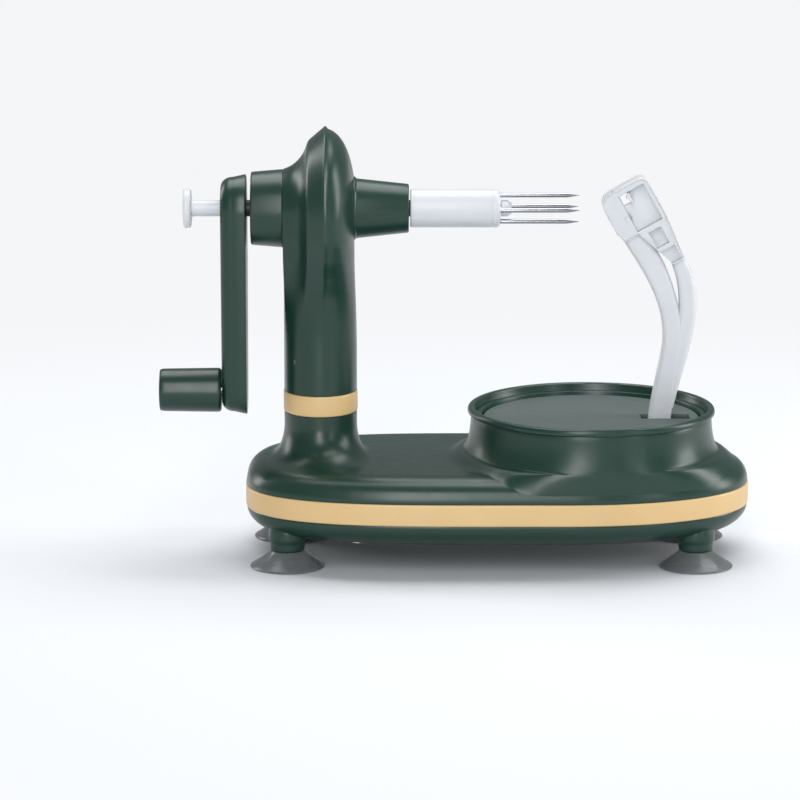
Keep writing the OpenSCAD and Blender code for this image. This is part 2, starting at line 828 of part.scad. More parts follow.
module fork_tube() {
    color(white) at_axis() difference() {
        turned_x([
            [fork_start, 0], [fork_start, fork_tube_diameter / 2], [fork_end - 0.8, fork_tube_diameter / 2],
            [fork_end - 0.2, fork_tube_diameter / 2 - 0.3], [fork_end, fork_tube_diameter / 2 - 0.8], [fork_end, 0]
        ]);
        along_x(main_radius, fork_start - 1, fork_start + tube_wall);
        along_x(tube_bore, fork_start + tube_wall - eps, fork_end - tube_end_wall);
        along_x(rod_radius + 0.1, fork_end - tube_end_wall - 1, fork_end + 1);
        for (spot = pin_spots) translate(spot) along_x(pin_diameter / 2, fork_end - tube_end_wall - 2, fork_end + 1);
    }
}

module fork_pins() {
    point = 4.5;
    color(steel) at_axis() for (spot = pin_spots) translate(spot) {
        along_x(pin_diameter / 2, fork_end - tube_end_wall - 2, pin_end - point);
        along_x(pin_diameter / 2, pin_end - point - eps, pin_end, 0.08);
    }
}

module knob_axle() {
    color(steel) translate([0, 0, knob_z]) {
        along_x(knob_axle_radius, knob_left + knob_cap_depth + moving_gap, crank_inner - 2.4);
        along_x(axle_head_radius, knob_left + knob_cap_depth + moving_gap, knob_left + knob_cap_depth + moving_gap + axle_head_depth);
    }
}

module handle_knob() {
    color(green) translate([0, 0, knob_z]) difference() {
        turned_x([
            [knob_left, 0], [knob_left, knob_diameter / 2 - 1.4], [knob_left + 0.4, knob_diameter / 2 - 0.5],
            [knob_left + 1.2, knob_diameter / 2 - 0.2], [knob_right - 1, knob_diameter / 2],
            [knob_right, knob_diameter / 2 - 0.8], [knob_right, 0]
        ]);
        along_x(knob_axle_radius + running_clearance, knob_left, knob_right + 1);
        along_x(axle_head_radius + moving_gap, knob_left, knob_left + knob_cap_depth + axle_head_depth + 2 * moving_gap);
        along_x(axle_head_radius + 1, knob_left - 1, knob_left + knob_cap_depth);
    }
}

module knob_end_cap() {
    color(dark_green) translate([0, 0, knob_z]) along_x(axle_head_radius + 1, knob_left, knob_left + knob_cap_depth);
}

module ejector_button() {
    color(white) at_axis() difference() {
        turned_x([
            [button_x - button_thickness, 0], [button_x - button_thickness, button_diameter / 2 - 1],
            [button_x - button_thickness + 0.3, button_diameter / 2 - 0.3],
            [button_x - button_thickness + 1, button_diameter / 2], [button_x - 1, button_diameter / 2],
            [button_x - 0.3, button_diameter / 2 - 0.3], [button_x, button_diameter / 2 - 1],
            [button_x, plunger_radius], [plunger_end, plunger_radius], [plunger_end, 0]
        ]);
        along_x(rod_radius, button_x + 2, plunger_end + 1);
    }
}

module ejector_rod() {
    color(steel) at_axis() {
        along_x(rod_radius, button_x + 2, fork_end + tip_gap + 2);
        along_x(collar_radius, collar_x - collar_width, collar_x);
    }
}

module ejector_tip() {
    color(white) at_axis() difference() {
        turned_x([
            [fork_end + tip_gap, 0], [fork_end + tip_gap, 3], [fork_end + tip_gap + tip_length - 0.8, 3],
            [fork_end + tip_gap + tip_length, 2.2], [fork_end + tip_gap + tip_length, 0]
        ]);
        along_x(rod_radius, fork_end, fork_end + tip_gap + 2);
    }
}

module ejector_spring() {
    wire = 0.35;
    color(steel) at_axis() translate([collar_x + wire + 0.02, 0, 0]) rotate([0, 90, 0])
        coil(2.4, wire, fork_end - tube_end_wall - collar_x - 2 * wire - 0.04, 7);
}

// ---- Turntable's bracket and the peeling arm ----

module across_y(spot, radius, half_length) {
    translate([spot[0], 0, spot[1]]) rotate([90, 0, 0]) cylinder(h = 2 * half_length, r = radius, center = true);
}

module slab_y(points, from, to) {
    translate([0, to, 0]) rotate([90, 0, 0]) linear_extrude(to - from) polygon(points);
}

arm_pivot = [arm_pivot_x, arm_pivot_z];

module arm_pivot_bracket() {
    ear = concat(
        arc_points(arm_pivot, ear_half_width, 180, 360),
        [[arm_pivot_x + ear_half_width, disc_low], [arm_pivot_x - ear_half_width, disc_low]]
    );
    color(dark_green) difference() {
        union() {
            for (side = [-1, 1]) translate([0, side * (ear_start + ear_thickness / 2), 0])
                slab_y(ear, -ear_thickness / 2, ear_thickness / 2);
            translate([arm_pivot_x - 8, -ear_start - ear_thickness, arm_pivot_z + 2])
                cube([2.4, 2 * (ear_start + ear_thickness), disc_low - arm_pivot_z - 2]);
            for (side = [-1, 1]) translate([arm_pivot_x - 6, side * (ear_start + ear_thickness / 2) - ear_thickness / 2, disc_low - 4])
                cube([2, ear_thickness, 4]);
        }
        across_y(arm_pivot, arm_pin_radius, 20);
    }
}

module arm_pivot_pin() {
    color(steel) across_y(arm_pivot, arm_pin_radius, ear_start + ear_thickness + 0.4);
}

module arm_spring() {
    wire = 0.4;
    color(steel) translate([arm_pivot_x, arm_depth / 2 + wire + moving_gap, arm_pivot_z]) rotate([-90, 0, 0])
        coil(arm_pin_radius + wire + 0.4, wire, ear_start - arm_depth / 2 - 2 * wire - 2 * moving_gap, 2);
}

function on_arm(points) = [for (p = points) [arm_pivot_x + p[0], arm_pivot_z + stretch * p[1]]];

// From the blade holder's own directions, across and along its lean
function on_holder(points) = [for (p = points) [
    holder_x + p[0] * cos(holder_lean) - p[1] * sin(holder_lean),
    holder_z + p[0] * sin(holder_lean) + p[1] * cos(holder_lean)
]];

holder_seam = [[-8.6, -9], [-2.5, -9], [3.1, -25], [7.9, -25]];

module peeling_arm() {
    left = on_arm(smooth([for (i = [1:len(arm_left_edge) - 2]) arm_left_edge[i]]));
    right = on_arm(smooth([for (i = [1:len(arm_right_edge) - 2]) arm_right_edge[i]]));
    lens = concat(
        bezier(window_low, (window_low + window_high) / 2 + window_bulge * [-1, -0.4], window_high),
        bezier(window_high, (window_low + window_high) / 2 + window_bulge * [1, 0.4], window_low)
    );
    color(white) difference() {
        union() {
            slab_y(
                concat(left, on_holder(holder_seam), backwards(right), arc_points(arm_pivot, arm_hub_radius, 0, -180)),
                -arm_depth / 2, arm_depth / 2
            );
        }
        across_y(arm_pivot, arm_pin_radius + running_clearance, 20);
        slab_y(on_arm(lens), -20, 20);
    }
}

holder_outline = concat(
    [[-8.6, -9], [-9.7, -3]],
    arc_points([-5.2, 4.7], 4.5, 180, 90),
    arc_points([6.9, 6.4], 2.8, 90, 0, 6),
    [[9.7, -9], [7.9, -25], [3.1, -25], [-2.5, -9]]
);
holder_hollow = [[-12, -7.4], [6.2, -7.4], [6.2, 12], [-12, 12]];
holder_recess = [[-2.7, -8.6], [8.2, -8.6], [8.2, 7], [-2.7, 7]];
holder_window = [[0.6, -17], [7.2, -17], [7.2, -11], [0.6, -11]];
holder_lower_recess = [[3.6, -24], [7, -24], [7.4, -19], [3.6, -19]];

module blade_holder() {
    pin_at = on_holder([blade_pivot])[0];
    color(white) difference() {
        slab_y(on_holder(holder_outline), -holder_half, holder_half);
        slab_y(on_holder(holder_hollow), -holder_half + plate_thickness, holder_half - plate_thickness);
        slab_y(on_holder(holder_window), -20, 20);
        for (side = [-1, 1]) {
            slab_y(on_holder(holder_recess), side * holder_half - 0.6, side * holder_half + 0.6);
            slab_y(on_holder(holder_lower_recess), side * holder_half - 1, side * holder_half + 1);
        }
        across_y(pin_at, blade_pin_radius, 20);
        across_y(on_holder([[-0.8, 4.9]])[0], 0.9, 20);
    }
}

module blade_pin() {
    color(steel) across_y(on_holder([blade_pivot])[0], blade_pin_radius, holder_half - 0.2);
}

module peeler_blade() {
    face = [[-9.6, -6], [-9, -6], [-9, 2.4], [-9.6, 2.4]];
    slot = [[-10, -2.5], [-8.6, -2.5], [-8.6, -1.3], [-10, -1.3]];
    ear = concat([[-9.01, -5], [-9.01, 1.6]], arc_points(blade_pivot, 1.8, 70, -70));
    color(steel) difference() {
        union() {
            slab_y(on_holder(face), -blade_half, blade_half);
            for (side = [-1, 1]) translate([0, side * (blade_half - blade_thickness / 2), 0])
                slab_y(on_holder(ear), -blade_thickness / 2, blade_thickness / 2);
        }
        slab_y(on_holder(slot), -blade_half + 0.8, blade_half - 0.8);
        across_y(on_holder([blade_pivot])[0], blade_pin_radius + running_clearance, 20);
    }
}

base_top_shell();
base_bottom_pan();
base_trim_band();
column_trim_band();
suction_cups();
base_screws();
gear_housing_left();
gear_housing_right();
housing_screws();
crank_bearing_cap();
nose_cone();
crank_bush();
nose_bush();
upper_shaft_bush();
lower_shaft_bush();
dish_rim_ring();
gear_axles();
axle_clips();
turntable_spindle();
thrust_washer();
crank_arm();
main_shaft();
main_bevel_gear();
fork_tube();
fork_pins();
knob_axle();
handle_knob();
knob_end_cap();
ejector_button();
ejector_rod();
ejector_tip();
ejector_spring();
vertical_shaft();
vertical_bevel_gear();
shaft_pinion();
first_reduction_gear();
second_reduction_gear();
turntable_disc();
turntable_gear();
arm_pivot_bracket();
arm_pivot_pin();
arm_spring();
peeling_arm();
blade_holder();
blade_pin();
peeler_blade();
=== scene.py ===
"""The shells, finishes, floor and lights of a hand-cranked fruit peeler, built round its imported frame."""

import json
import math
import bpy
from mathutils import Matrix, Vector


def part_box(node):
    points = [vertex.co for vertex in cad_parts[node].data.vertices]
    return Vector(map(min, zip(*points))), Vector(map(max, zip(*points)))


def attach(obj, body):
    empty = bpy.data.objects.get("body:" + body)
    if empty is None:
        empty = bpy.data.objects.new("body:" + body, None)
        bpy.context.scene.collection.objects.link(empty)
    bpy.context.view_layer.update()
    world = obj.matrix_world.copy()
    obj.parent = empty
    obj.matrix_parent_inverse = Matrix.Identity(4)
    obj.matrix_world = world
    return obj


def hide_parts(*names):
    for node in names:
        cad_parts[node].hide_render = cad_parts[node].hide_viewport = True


bl_info = {
    "name": "Crank Peeler",
    "version": (1, 0, 0),
    "blender": (4, 5, 0),
    "location": "View3D > Sidebar > Crank Peeler",
    "description": "Builds the visible pieces of a hand-cranked fruit peeler round its mechanism",
    "category": "Object",
}

import bmesh
import bpy
from mathutils import Vector

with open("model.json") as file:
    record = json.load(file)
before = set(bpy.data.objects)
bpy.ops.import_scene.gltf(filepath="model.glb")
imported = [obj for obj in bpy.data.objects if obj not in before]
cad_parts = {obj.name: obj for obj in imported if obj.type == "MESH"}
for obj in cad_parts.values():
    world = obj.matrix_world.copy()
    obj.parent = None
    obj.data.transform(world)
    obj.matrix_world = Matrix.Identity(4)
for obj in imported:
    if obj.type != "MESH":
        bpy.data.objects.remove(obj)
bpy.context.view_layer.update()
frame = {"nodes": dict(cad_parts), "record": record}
MM = 0.001


# ---- Places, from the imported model, in millimetres ----


def box_mm(node):
    """The lowest and highest corners of a node, in millimetres."""
    low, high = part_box(node)
    return [v / MM for v in low], [v / MM for v in high]


def middle(node):
    low, high = box_mm(node)
    return [(a + b) / 2 for a, b in zip(low, high)]


BAND_LOW, BAND_HIGH = box_mm("base_trim_band")
PAN_LOW = 10.0
COVER_TOP = BAND_HIGH[2] + 9
COLUMN_X = middle("vertical_shaft")[0]
DISH_X = middle("turntable_disc")[0]
AXIS_Z = middle("fork_tube")[2]
COLUMN_BAND_LOW, COLUMN_BAND_HIGH = box_mm("column_trim_band")
LIP_Z = box_mm("dish_rim_ring")[1][2] + 2.7
DISC_TOP = box_mm("turntable_disc")[1][2]
DISC_RADIUS = (box_mm("turntable_disc")[1][0] - box_mm("turntable_disc")[0][0]) / 2
CRANK_LOW, CRANK_HIGH = box_mm("crank_arm")
KNOB_LOW, KNOB_HIGH = box_mm("handle_knob")
KNOB_Z = middle("handle_knob")[2]
BOSS_LOW, BOSS_HIGH = box_mm("crank_bearing_cap")
NOSE_LOW, NOSE_HIGH = box_mm("nose_cone")
TUBE_LOW, TUBE_HIGH = box_mm("fork_tube")
BUTTON_LOW, BUTTON_HIGH = box_mm("ejector_button")
TIP_LOW, TIP_HIGH = box_mm("ejector_tip")
PINS_HIGH = box_mm("fork_pins")[1]
CUPS_LOW, CUPS_HIGH = box_mm("suction_cups")
ARM_PIVOT = middle("arm_pivot_pin")

WALL = 2.2
PAN_INSET = 2.6
PAN_ROUND = 17.5
SCREW_WELL_RADIUS = 3.6
BAND_PROUD = 0.3
SHOULDER_START = 47.9
SHOULDER_WIDTH = 6.6
SHOULDER_STEPS = 9
SLOT_START, SLOT_END, SLOT_WIDTH = 18.6, 36.6, 9
HALF_WIDTH = BAND_HIGH[1]
BACK_CENTRE = COLUMN_X + 60
FRONT_CENTRE = DISH_X - 11
BACK_POWER = 3.0
FRONT_POWER = 2.2
COVER_ROUND = 12.0
COLUMN_HALF_WIDTH = (COLUMN_BAND_HIGH[0] - COLUMN_BAND_LOW[0]) / 2 - BAND_PROUD
COLUMN_HALF_DEPTH = (COLUMN_BAND_HIGH[1] - COLUMN_BAND_LOW[1]) / 2 - BAND_PROUD
LIP_RADIUS = 46.15
DISH_INNER = 43.15
CUP_RADIUS = 13.8
FEET = [(x, y) for x in (CUPS_LOW[0] + CUP_RADIUS, CUPS_HIGH[0] - CUP_RADIUS)
        for y in (CUPS_LOW[1] + CUP_RADIUS, CUPS_HIGH[1] - CUP_RADIUS)]
SCREW_SPOTS = [(COLUMN_X + 14, 33), (COLUMN_X + 14, -33), (12, 35), (12, -35), (DISH_X + 39.2, 0)]


# ---- Modelling helpers ----


def deselect():
    if bpy.context.object and bpy.context.object.mode != "OBJECT":
        bpy.ops.object.mode_set(mode="OBJECT")
    bpy.ops.object.select_all(action="DESELECT")


def activate(obj):
    deselect()
    obj.select_set(True)
    bpy.context.view_layer.objects.active = obj


def set_ring(mesh_edit, order, ring):
    mesh_edit.verts.ensure_lookup_table()
    for index, point in zip(order, ring):
        mesh_edit.verts[index].co = Vector(point) * MM


def loft(name, rings, closed=False, caps=True):
    """A circle extruded ring by ring, each ring shaped to its points in millimetres."""
    deselect()
    bpy.ops.mesh.primitive_circle_add(vertices=len(rings[0]), radius=0.01, fill_type="NOTHING")
    obj = bpy.context.object
    obj.name = name
    obj.data.name = name
    bpy.ops.object.mode_set(mode="EDIT")
    bpy.ops.mesh.select_mode(type="VERT")
    bpy.ops.mesh.select_all(action="SELECT")
    edit = bmesh.from_edit_mesh(obj.data)
    order = [v.index for v in edit.verts]
    first = order
    set_ring(edit, order, rings[0])
    for ring in rings[1:]:
        bpy.ops.mesh.extrude_region_move()
        edit = bmesh.from_edit_mesh(obj.data)
        edit.verts.ensure_lookup_table()
        new = []
        for index in order:
            vert = edit.verts[index]
            new.append(next(o.index for o in (e.other_vert(vert) for e in vert.link_edges) if o.select))
        order = new
        set_ring(edit, order, ring)
    bmesh.update_edit_mesh(obj.data)
    for ends in ([first, order],) if closed else ([first], [order]) if caps else ():
        bpy.ops.mesh.select_all(action="DESELECT")
        edit = bmesh.from_edit_mesh(obj.data)
        edit.verts.ensure_lookup_table()
        for index in [i for end in ends for i in end]:
            edit.verts[index].select = True
        edit.select_flush_mode()
        bmesh.update_edit_mesh(obj.data)
        if closed:
            bpy.ops.mesh.bridge_edge_loops()
        else:
            bpy.ops.mesh.edge_face_add()
    bpy.ops.mesh.select_all(action="SELECT")
    bpy.ops.mesh.remove_doubles(threshold=1e-6)
    bpy.ops.mesh.normals_make_consistent(inside=False)
    bpy.ops.object.mode_set(mode="OBJECT")
    return obj


def circle_ring(axis, centre, along, radius, steps):
    """Points of a circle round an axis through a centre."""
    ring = []
    for i in range(steps):
        a = 2 * math.pi * i / steps
        u, v = radius * math.cos(a), radius * math.sin(a)
        if axis == "X":
            ring.append((along, centre[0] + u, centre[1] + v))
        elif axis == "Y":
            ring.append((centre[0] + v, along, centre[1] + u))
        else:
            ring.append((centre[0] + u, centre[1] + v, along))
    return ring


def turned(name, profile, axis="X", centre=(0, 0), steps=96, closed=False):
    """A turned piece from pairs of place along the axis and radius."""
    rings = [circle_ring(axis, centre, along, max(radius, 0.02), steps) for along, radius in profile]
    return loft(name, rings, closed=closed)


def rounded(corners, radius, steps=5):
    """A path through corners, each one given as (place, radius) and rounded where it is marked."""
    path = []
    for k, corner in enumerate(corners):
        r = corner[2] if len(corner) > 2 else radius
        if r <= 0 or k in (0, len(corners) - 1):
            path.append((corner[0], corner[1]))
            continue
        here = Vector(corner[:2])
        before, after = Vector(corners[k - 1][:2]) - here, Vector(corners[k + 1][:2]) - here
        cut = min(r, before.length * 0.45, after.length * 0.45)
        a, b = here + before.normalized() * cut, here + after.normalized() * cut
        for i in range(steps + 1):
            t = i / steps
            p = (1 - t) ** 2 * a + 2 * t * (1 - t) * here + t * t * b
            path.append((p.x, p.y))
    return path


def smooth_path(points, steps=6):
    """A smooth curve through points of any number of values."""
    path = []
    for i in range(len(points) - 1):
        a = points[max(i - 1, 0)]
        b, c = points[i], points[i + 1]
        d = points[min(i + 2, len(points) - 1)]
        for k in range(steps):
            t = k / steps
            path.append(tuple(
                0.5 * (2 * q + (r - p) * t + (2 * p - 5 * q + 4 * r - s) * t * t
                       + (3 * q - p - 3 * r + s) * t ** 3)
                for p, q, r, s in zip(a, b, c, d)))
    return path + [tuple(points[-1])]


def bezier(a, b, c, steps=8):
    return [tuple((1 - t) ** 2 * p + 2 * t * (1 - t) * q + t * t * r for p, q, r in zip(a, b, c))
            for t in (i / steps for i in range(steps + 1))]


def modify(obj, kind, **settings):
    """Gives a piece a modifier with these settings, and applies it."""
    activate(obj)
    change = obj.modifiers.new(kind.lower(), kind)
    for key, value in settings.items():
        setattr(change, key, value)
    bpy.ops.object.modifier_apply(modifier=change.name)
    return obj


def cut(obj, cutter):
    """Takes the cutter away from a piece, and removes the cutter."""
    modify(obj, "BOOLEAN", operation="DIFFERENCE", solver="EXACT", object=cutter)
    activate(cutter)
    bpy.ops.object.delete()
    return obj


def join(pieces):
    deselect()
    for piece in pieces:
        piece.select_set(True)
    bpy.context.view_layer.objects.active = pieces[0]
    bpy.ops.object.join()
    return bpy.context.object


def solidify(obj, thickness):
    return modify(obj, "SOLIDIFY", thickness=thickness * MM, offset=-1, use_even_offset=True)


def soften(obj, width, angle=40, segments=3):
    return modify(obj, "BEVEL", width=width * MM, segments=segments, limit_method="ANGLE",
                  angle_limit=math.radians(angle), harden_normals=False)


SLOT_FINISHES = {
    "green_gloss": "body", "gold_trim": "trim", "turntable_green": "disc", "white_plastic": "white",
    "clear_vinyl": "vinyl", "polished_steel": "steel", "plain_steel": "plain_steel", "acetal": "acetal",
    "bronze": "bronze", "black_plastic": "black",
}


def finish(obj, name, body, slot, replaced=(), angle=35):
    """Smooths a piece, gives it its finish and fixes it to its body."""
    obj.name = name
    obj.data.name = name
    activate(obj)
    bpy.ops.object.shade_smooth_by_angle(angle=math.radians(angle))
    obj.data.materials.clear()
    obj.data.materials.append(FINISHES[SLOT_FINISHES[slot]])
    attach(obj, body)
    if replaced:
        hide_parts(*replaced)
    deselect()
    return obj


def slab(name, outline, low, high, edge=0.6, steps=4):
    """An outline in X and Z, extruded along Y with rounded edges."""
    middle_x = sum(p[0] for p in outline) / len(outline)
    middle_z = sum(p[1] for p in outline) / len(outline)
    span = max(math.dist(p, (middle_x, middle_z)) for p in outline)

    def ring(y, inset):
        scale = 1 - inset / span
        return [(middle_x + (x - middle_x) * scale, y, middle_z + (z - middle_z) * scale)
                for x, z in outline]

    rings = []
    for i in range(steps + 1):
        a = math.pi / 2 * i / steps
        rings.append(ring(low + edge * (1 - math.sin(a)), edge * math.cos(a)))
    for i in range(steps, -1, -1):
        a = math.pi / 2 * i / steps
        rings.append(ring(high - edge * (1 - math.sin(a)), edge * math.cos(a)))
    return loft(name, rings)


# ---- Materials ----


class Finish:
    """A procedural material: a shader, and noise on object coordinates that varies it."""

    def __init__(self, name):
        self.material = bpy.data.materials.new(name)
        self.material.use_nodes = True
        self.nodes = self.material.node_tree.nodes
        self.links = self.material.node_tree.links
        self.shader = self.nodes["Principled BSDF"]
        self.place = self.nodes.new("ShaderNodeTexCoord")

    def set(self, **values):
        for name, value in values.items():
            self.shader.inputs[name.replace("_", " ")].default_value = value
        return self

    def noise(self, scale, detail=3.0, stretch=None):
        texture = self.nodes.new("ShaderNodeTexNoise")
        texture.inputs["Scale"].default_value = scale
        texture.inputs["Detail"].default_value = detail
        source = self.place.outputs["Object"]
        if stretch:
            mapping = self.nodes.new("ShaderNodeMapping")
            mapping.inputs["Scale"].default_value = stretch
            self.links.new(source, mapping.inputs["Vector"])
            source = mapping.outputs["Vector"]
        self.links.new(source, texture.inputs["Vector"])
        return texture.outputs["Fac"]

    def vary_colour(self, factor, dark, light):
        mix = self.nodes.new("ShaderNodeMix")
        mix.data_type = "RGBA"
        mix.inputs["A"].default_value = (*dark, 1)
        mix.inputs["B"].default_value = (*light, 1)
        self.links.new(factor, mix.inputs["Factor"])
        self.links.new(mix.outputs["Result"], self.shader.inputs["Base Color"])
        return self

    def vary_roughness(self, factor, low, high):
        spread = self.nodes.new("ShaderNodeMapRange")
        spread.inputs["From Min"].default_value = 0.3
        spread.inputs["From Max"].default_value = 0.7
        spread.inputs["To Min"].default_value = low
        spread.inputs["To Max"].default_value = high
        self.links.new(factor, spread.inputs["Value"])
        self.links.new(spread.outputs["Result"], self.shader.inputs["Roughness"])
        return self

    def bump(self, height, strength, distance):
        bump = self.nodes.new("ShaderNodeBump")
        bump.inputs["Strength"].default_value = strength
        bump.inputs["Distance"].default_value = distance
        self.links.new(height, bump.inputs["Height"])
        self.links.new(bump.outputs["Normal"], self.shader.inputs["Normal"])
        return self


def shade(colour, factor):
    return tuple(min(1.0, c * factor) for c in colour)


def moulded(name, colour, roughness, grain=0.06, coat=0.0):
    """Moulded plastic: a faint drift of colour, a finer one of gloss, and a very fine grain."""
    finish_of = Finish(name)
    finish_of.set(IOR=1.5)
    if coat:
        finish_of.set(Coat_Weight=coat, Coat_Roughness=0.12)
    finish_of.vary_colour(finish_of.noise(55, 2), shade(colour, 0.94), shade(colour, 1.06))
    finish_of.vary_roughness(finish_of.noise(160, 4), roughness * 0.9, roughness * 1.12)
    finish_of.bump(finish_of.noise(900, 1), grain, 0.00001)
    return finish_of.material


def metal(name, colour, roughness, stretch=None, grain=0.05):
    finish_of = Finish(name).set(Metallic=1.0)
    finish_of.vary_colour(finish_of.noise(120, 2), shade(colour, 0.95), shade(colour, 1.04))
    finish_of.vary_roughness(finish_of.noise(420, 4, stretch), roughness * 0.75, roughness * 1.3)
    finish_of.bump(finish_of.noise(1600, 2, stretch), grain, 0.00003)
    return finish_of.material


def vinyl(name, colour):
    """Soft clear vinyl with a slight haze."""
    finish_of = Finish(name).set(IOR=1.42, Transmission_Weight=0.72)
    finish_of.vary_colour(finish_of.noise(90, 2), shade(colour, 0.95), shade(colour, 1.05))
    finish_of.vary_roughness(finish_of.noise(200, 3), 0.16, 0.28)
    finish_of.bump(finish_of.noise(900, 2), 0.06, 0.00005)
    return finish_of.material


FINISHES = {}


class PeelerLooks(bpy.types.PropertyGroup):
    """The colours and the few sizes that a user would change."""

    body_colour: bpy.props.FloatVectorProperty(
        name="Body", description="Colour of the moulded body", subtype="COLOR", size=3, min=0, max=1,
        default=(0.006, 0.034, 0.022))
    trim_colour: bpy.props.FloatVectorProperty(
        name="Trim", description="Colour of the trim bands", subtype="COLOR", size=3, min=0, max=1,
        default=(0.67, 0.465, 0.215))
    disc_colour: bpy.props.FloatVectorProperty(
        name="Turntable", description="Colour of the turntable", subtype="COLOR", size=3, min=0, max=1,
        default=(0.07, 0.098, 0.092))
    white_colour: bpy.props.FloatVectorProperty(
        name="White parts", description="Colour of the arm and fork tube", subtype="COLOR", size=3,
        min=0, max=1, default=(0.63, 0.65, 0.68))
    neck_start: bpy.props.FloatProperty(
        name="Neck start", description="Height where the head begins to narrow to the column, below the axis",
        default=0.006, min=0.0, max=0.02, unit="LENGTH")
    neck_end: bpy.props.FloatProperty(
        name="Neck end", description="Height below the axis where the column is round again",
        default=0.056, min=0.04, max=0.064, unit="LENGTH")
    foot_round: bpy.props.FloatProperty(
        name="Column foot", description="Radius of the fillet at the foot of the column",
        default=0.010, min=0.004, max=0.012, unit="LENGTH")


def looks():
    return bpy.context.scene.peeler_looks


# ---- The base's outline and surface ----


def signed_power(value, power):
    return math.copysign(abs(value) ** power, value)


def outline_point(angle, inset):
    c, s = math.cos(angle), math.sin(angle)
    power = 2 / (BACK_POWER if c < 0 else FRONT_POWER)
    reach_x = BACK_CENTRE - BAND_LOW[0] if c < 0 else BAND_HIGH[0] - FRONT_CENTRE
    centre = BACK_CENTRE if c < 0 else FRONT_CENTRE
    return (centre + (reach_x - inset) * signed_power(c, power),
            (HALF_WIDTH - inset) * signed_power(s, power))


def outline_ring(z, inset, steps=176):
    return [(*outline_point(2 * math.pi * (i + 0.5) / steps, inset), z) for i in range(steps)]


def inset_at(x, y):
    """How far a point lies inside the base's outline."""
    if BACK_CENTRE <= x <= FRONT_CENTRE:
        return HALF_WIDTH - abs(y)
    back = x < BACK_CENTRE
    power = BACK_POWER if back else FRONT_POWER
    reach_x = BACK_CENTRE - BAND_LOW[0] if back else BAND_HIGH[0] - FRONT_CENTRE
    along = abs(x - (BACK_CENTRE if back else FRONT_CENTRE))
    low, high = -20.0, min(reach_x, HALF_WIDTH) - 0.01
    for _ in range(40):
        inset = (low + high) / 2
        inside = (along / (reach_x - inset)) ** power + (abs(y) / (HALF_WIDTH - inset)) ** power < 1
        low, high = (inset, high) if inside else (low, inset)
    return low


def cover_height(inset):
    """Height of the top cover's surface at an inset from the outline."""
    t = min(max((inset - 0.35) / COVER_ROUND, 0), 1)
    return BAND_HIGH[2] + 0.9 + (COVER_TOP - BAND_HIGH[2] - 0.9) * (1 - (1 - t) ** 2.4) ** 0.5


def soft_limit(radius, limit):
    """The smaller of two lengths, passing smoothly from one to the other."""
    return (radius ** -40 + limit ** -40) ** (-1 / 40)


def dish_reach(angle, inset, most):
    """How far from the dish's axis a ray goes before it comes within an inset of the outline."""
    low, high = 40.0, most
    if inset_at(DISH_X + most * math.cos(angle), most * math.sin(angle)) >= inset:
        return most
    for _ in range(30):
        r = (low + high) / 2
        inside = inset_at(DISH_X + r * math.cos(angle), r * math.sin(angle)) >= inset
        low, high = (r, high) if inside else (low, r)
    return low


# ---- Pieces ----


def make_cover_top():
    insets = [0.35 + COVER_ROUND * (1 - math.cos(math.radians(a))) for a in range(0, 91, 5)]
    rings = [outline_ring(BAND_HIGH[2], 0.55), outline_ring(BAND_HIGH[2] + 0.35, 0.35)]
    rings += [outline_ring(cover_height(inset), inset) for inset in insets]
    rings.append(outline_ring(COVER_TOP, COVER_ROUND + 8))
    cover = loft("cover", rings, caps=False)
    activate(cover)
    bpy.ops.object.mode_set(mode="EDIT")
    bpy.ops.mesh.select_mode(type="EDGE")
    bpy.ops.mesh.select_all(action="DESELECT")
    edit = bmesh.from_edit_mesh(cover.data)
    for edge in edit.edges:
        edge.select = edge.is_boundary and edge.verts[0].co.z > (COVER_TOP - 0.1) * MM
    bmesh.update_edit_mesh(cover.data)
    bpy.ops.mesh.edge_face_add()
    bpy.ops.mesh.select_all(action="SELECT")
    bpy.ops.mesh.normals_make_consistent(inside=False)
    bpy.ops.object.mode_set(mode="OBJECT")
    if cover.data.polygons[-1].normal.z < 0:
        activate(cover)
        bpy.ops.object.mode_set(mode="EDIT")
        bpy.ops.mesh.select_all(action="SELECT")
        bpy.ops.mesh.flip_normals()
        bpy.ops.object.mode_set(mode="OBJECT")
    solidify(cover, WALL)
    hole = turned("hole", [(BAND_LOW[2], DISH_INNER - 0.6), (LIP_Z, DISH_INNER - 0.6)],
                  "Z", (DISH_X, 0), 128)
    cut(cover, hole)
    well = turned("well", [(BAND_LOW[2], 9), (LIP_Z, 9)], "Z", (COLUMN_X, 0), 64)
    return cut(cover, well)


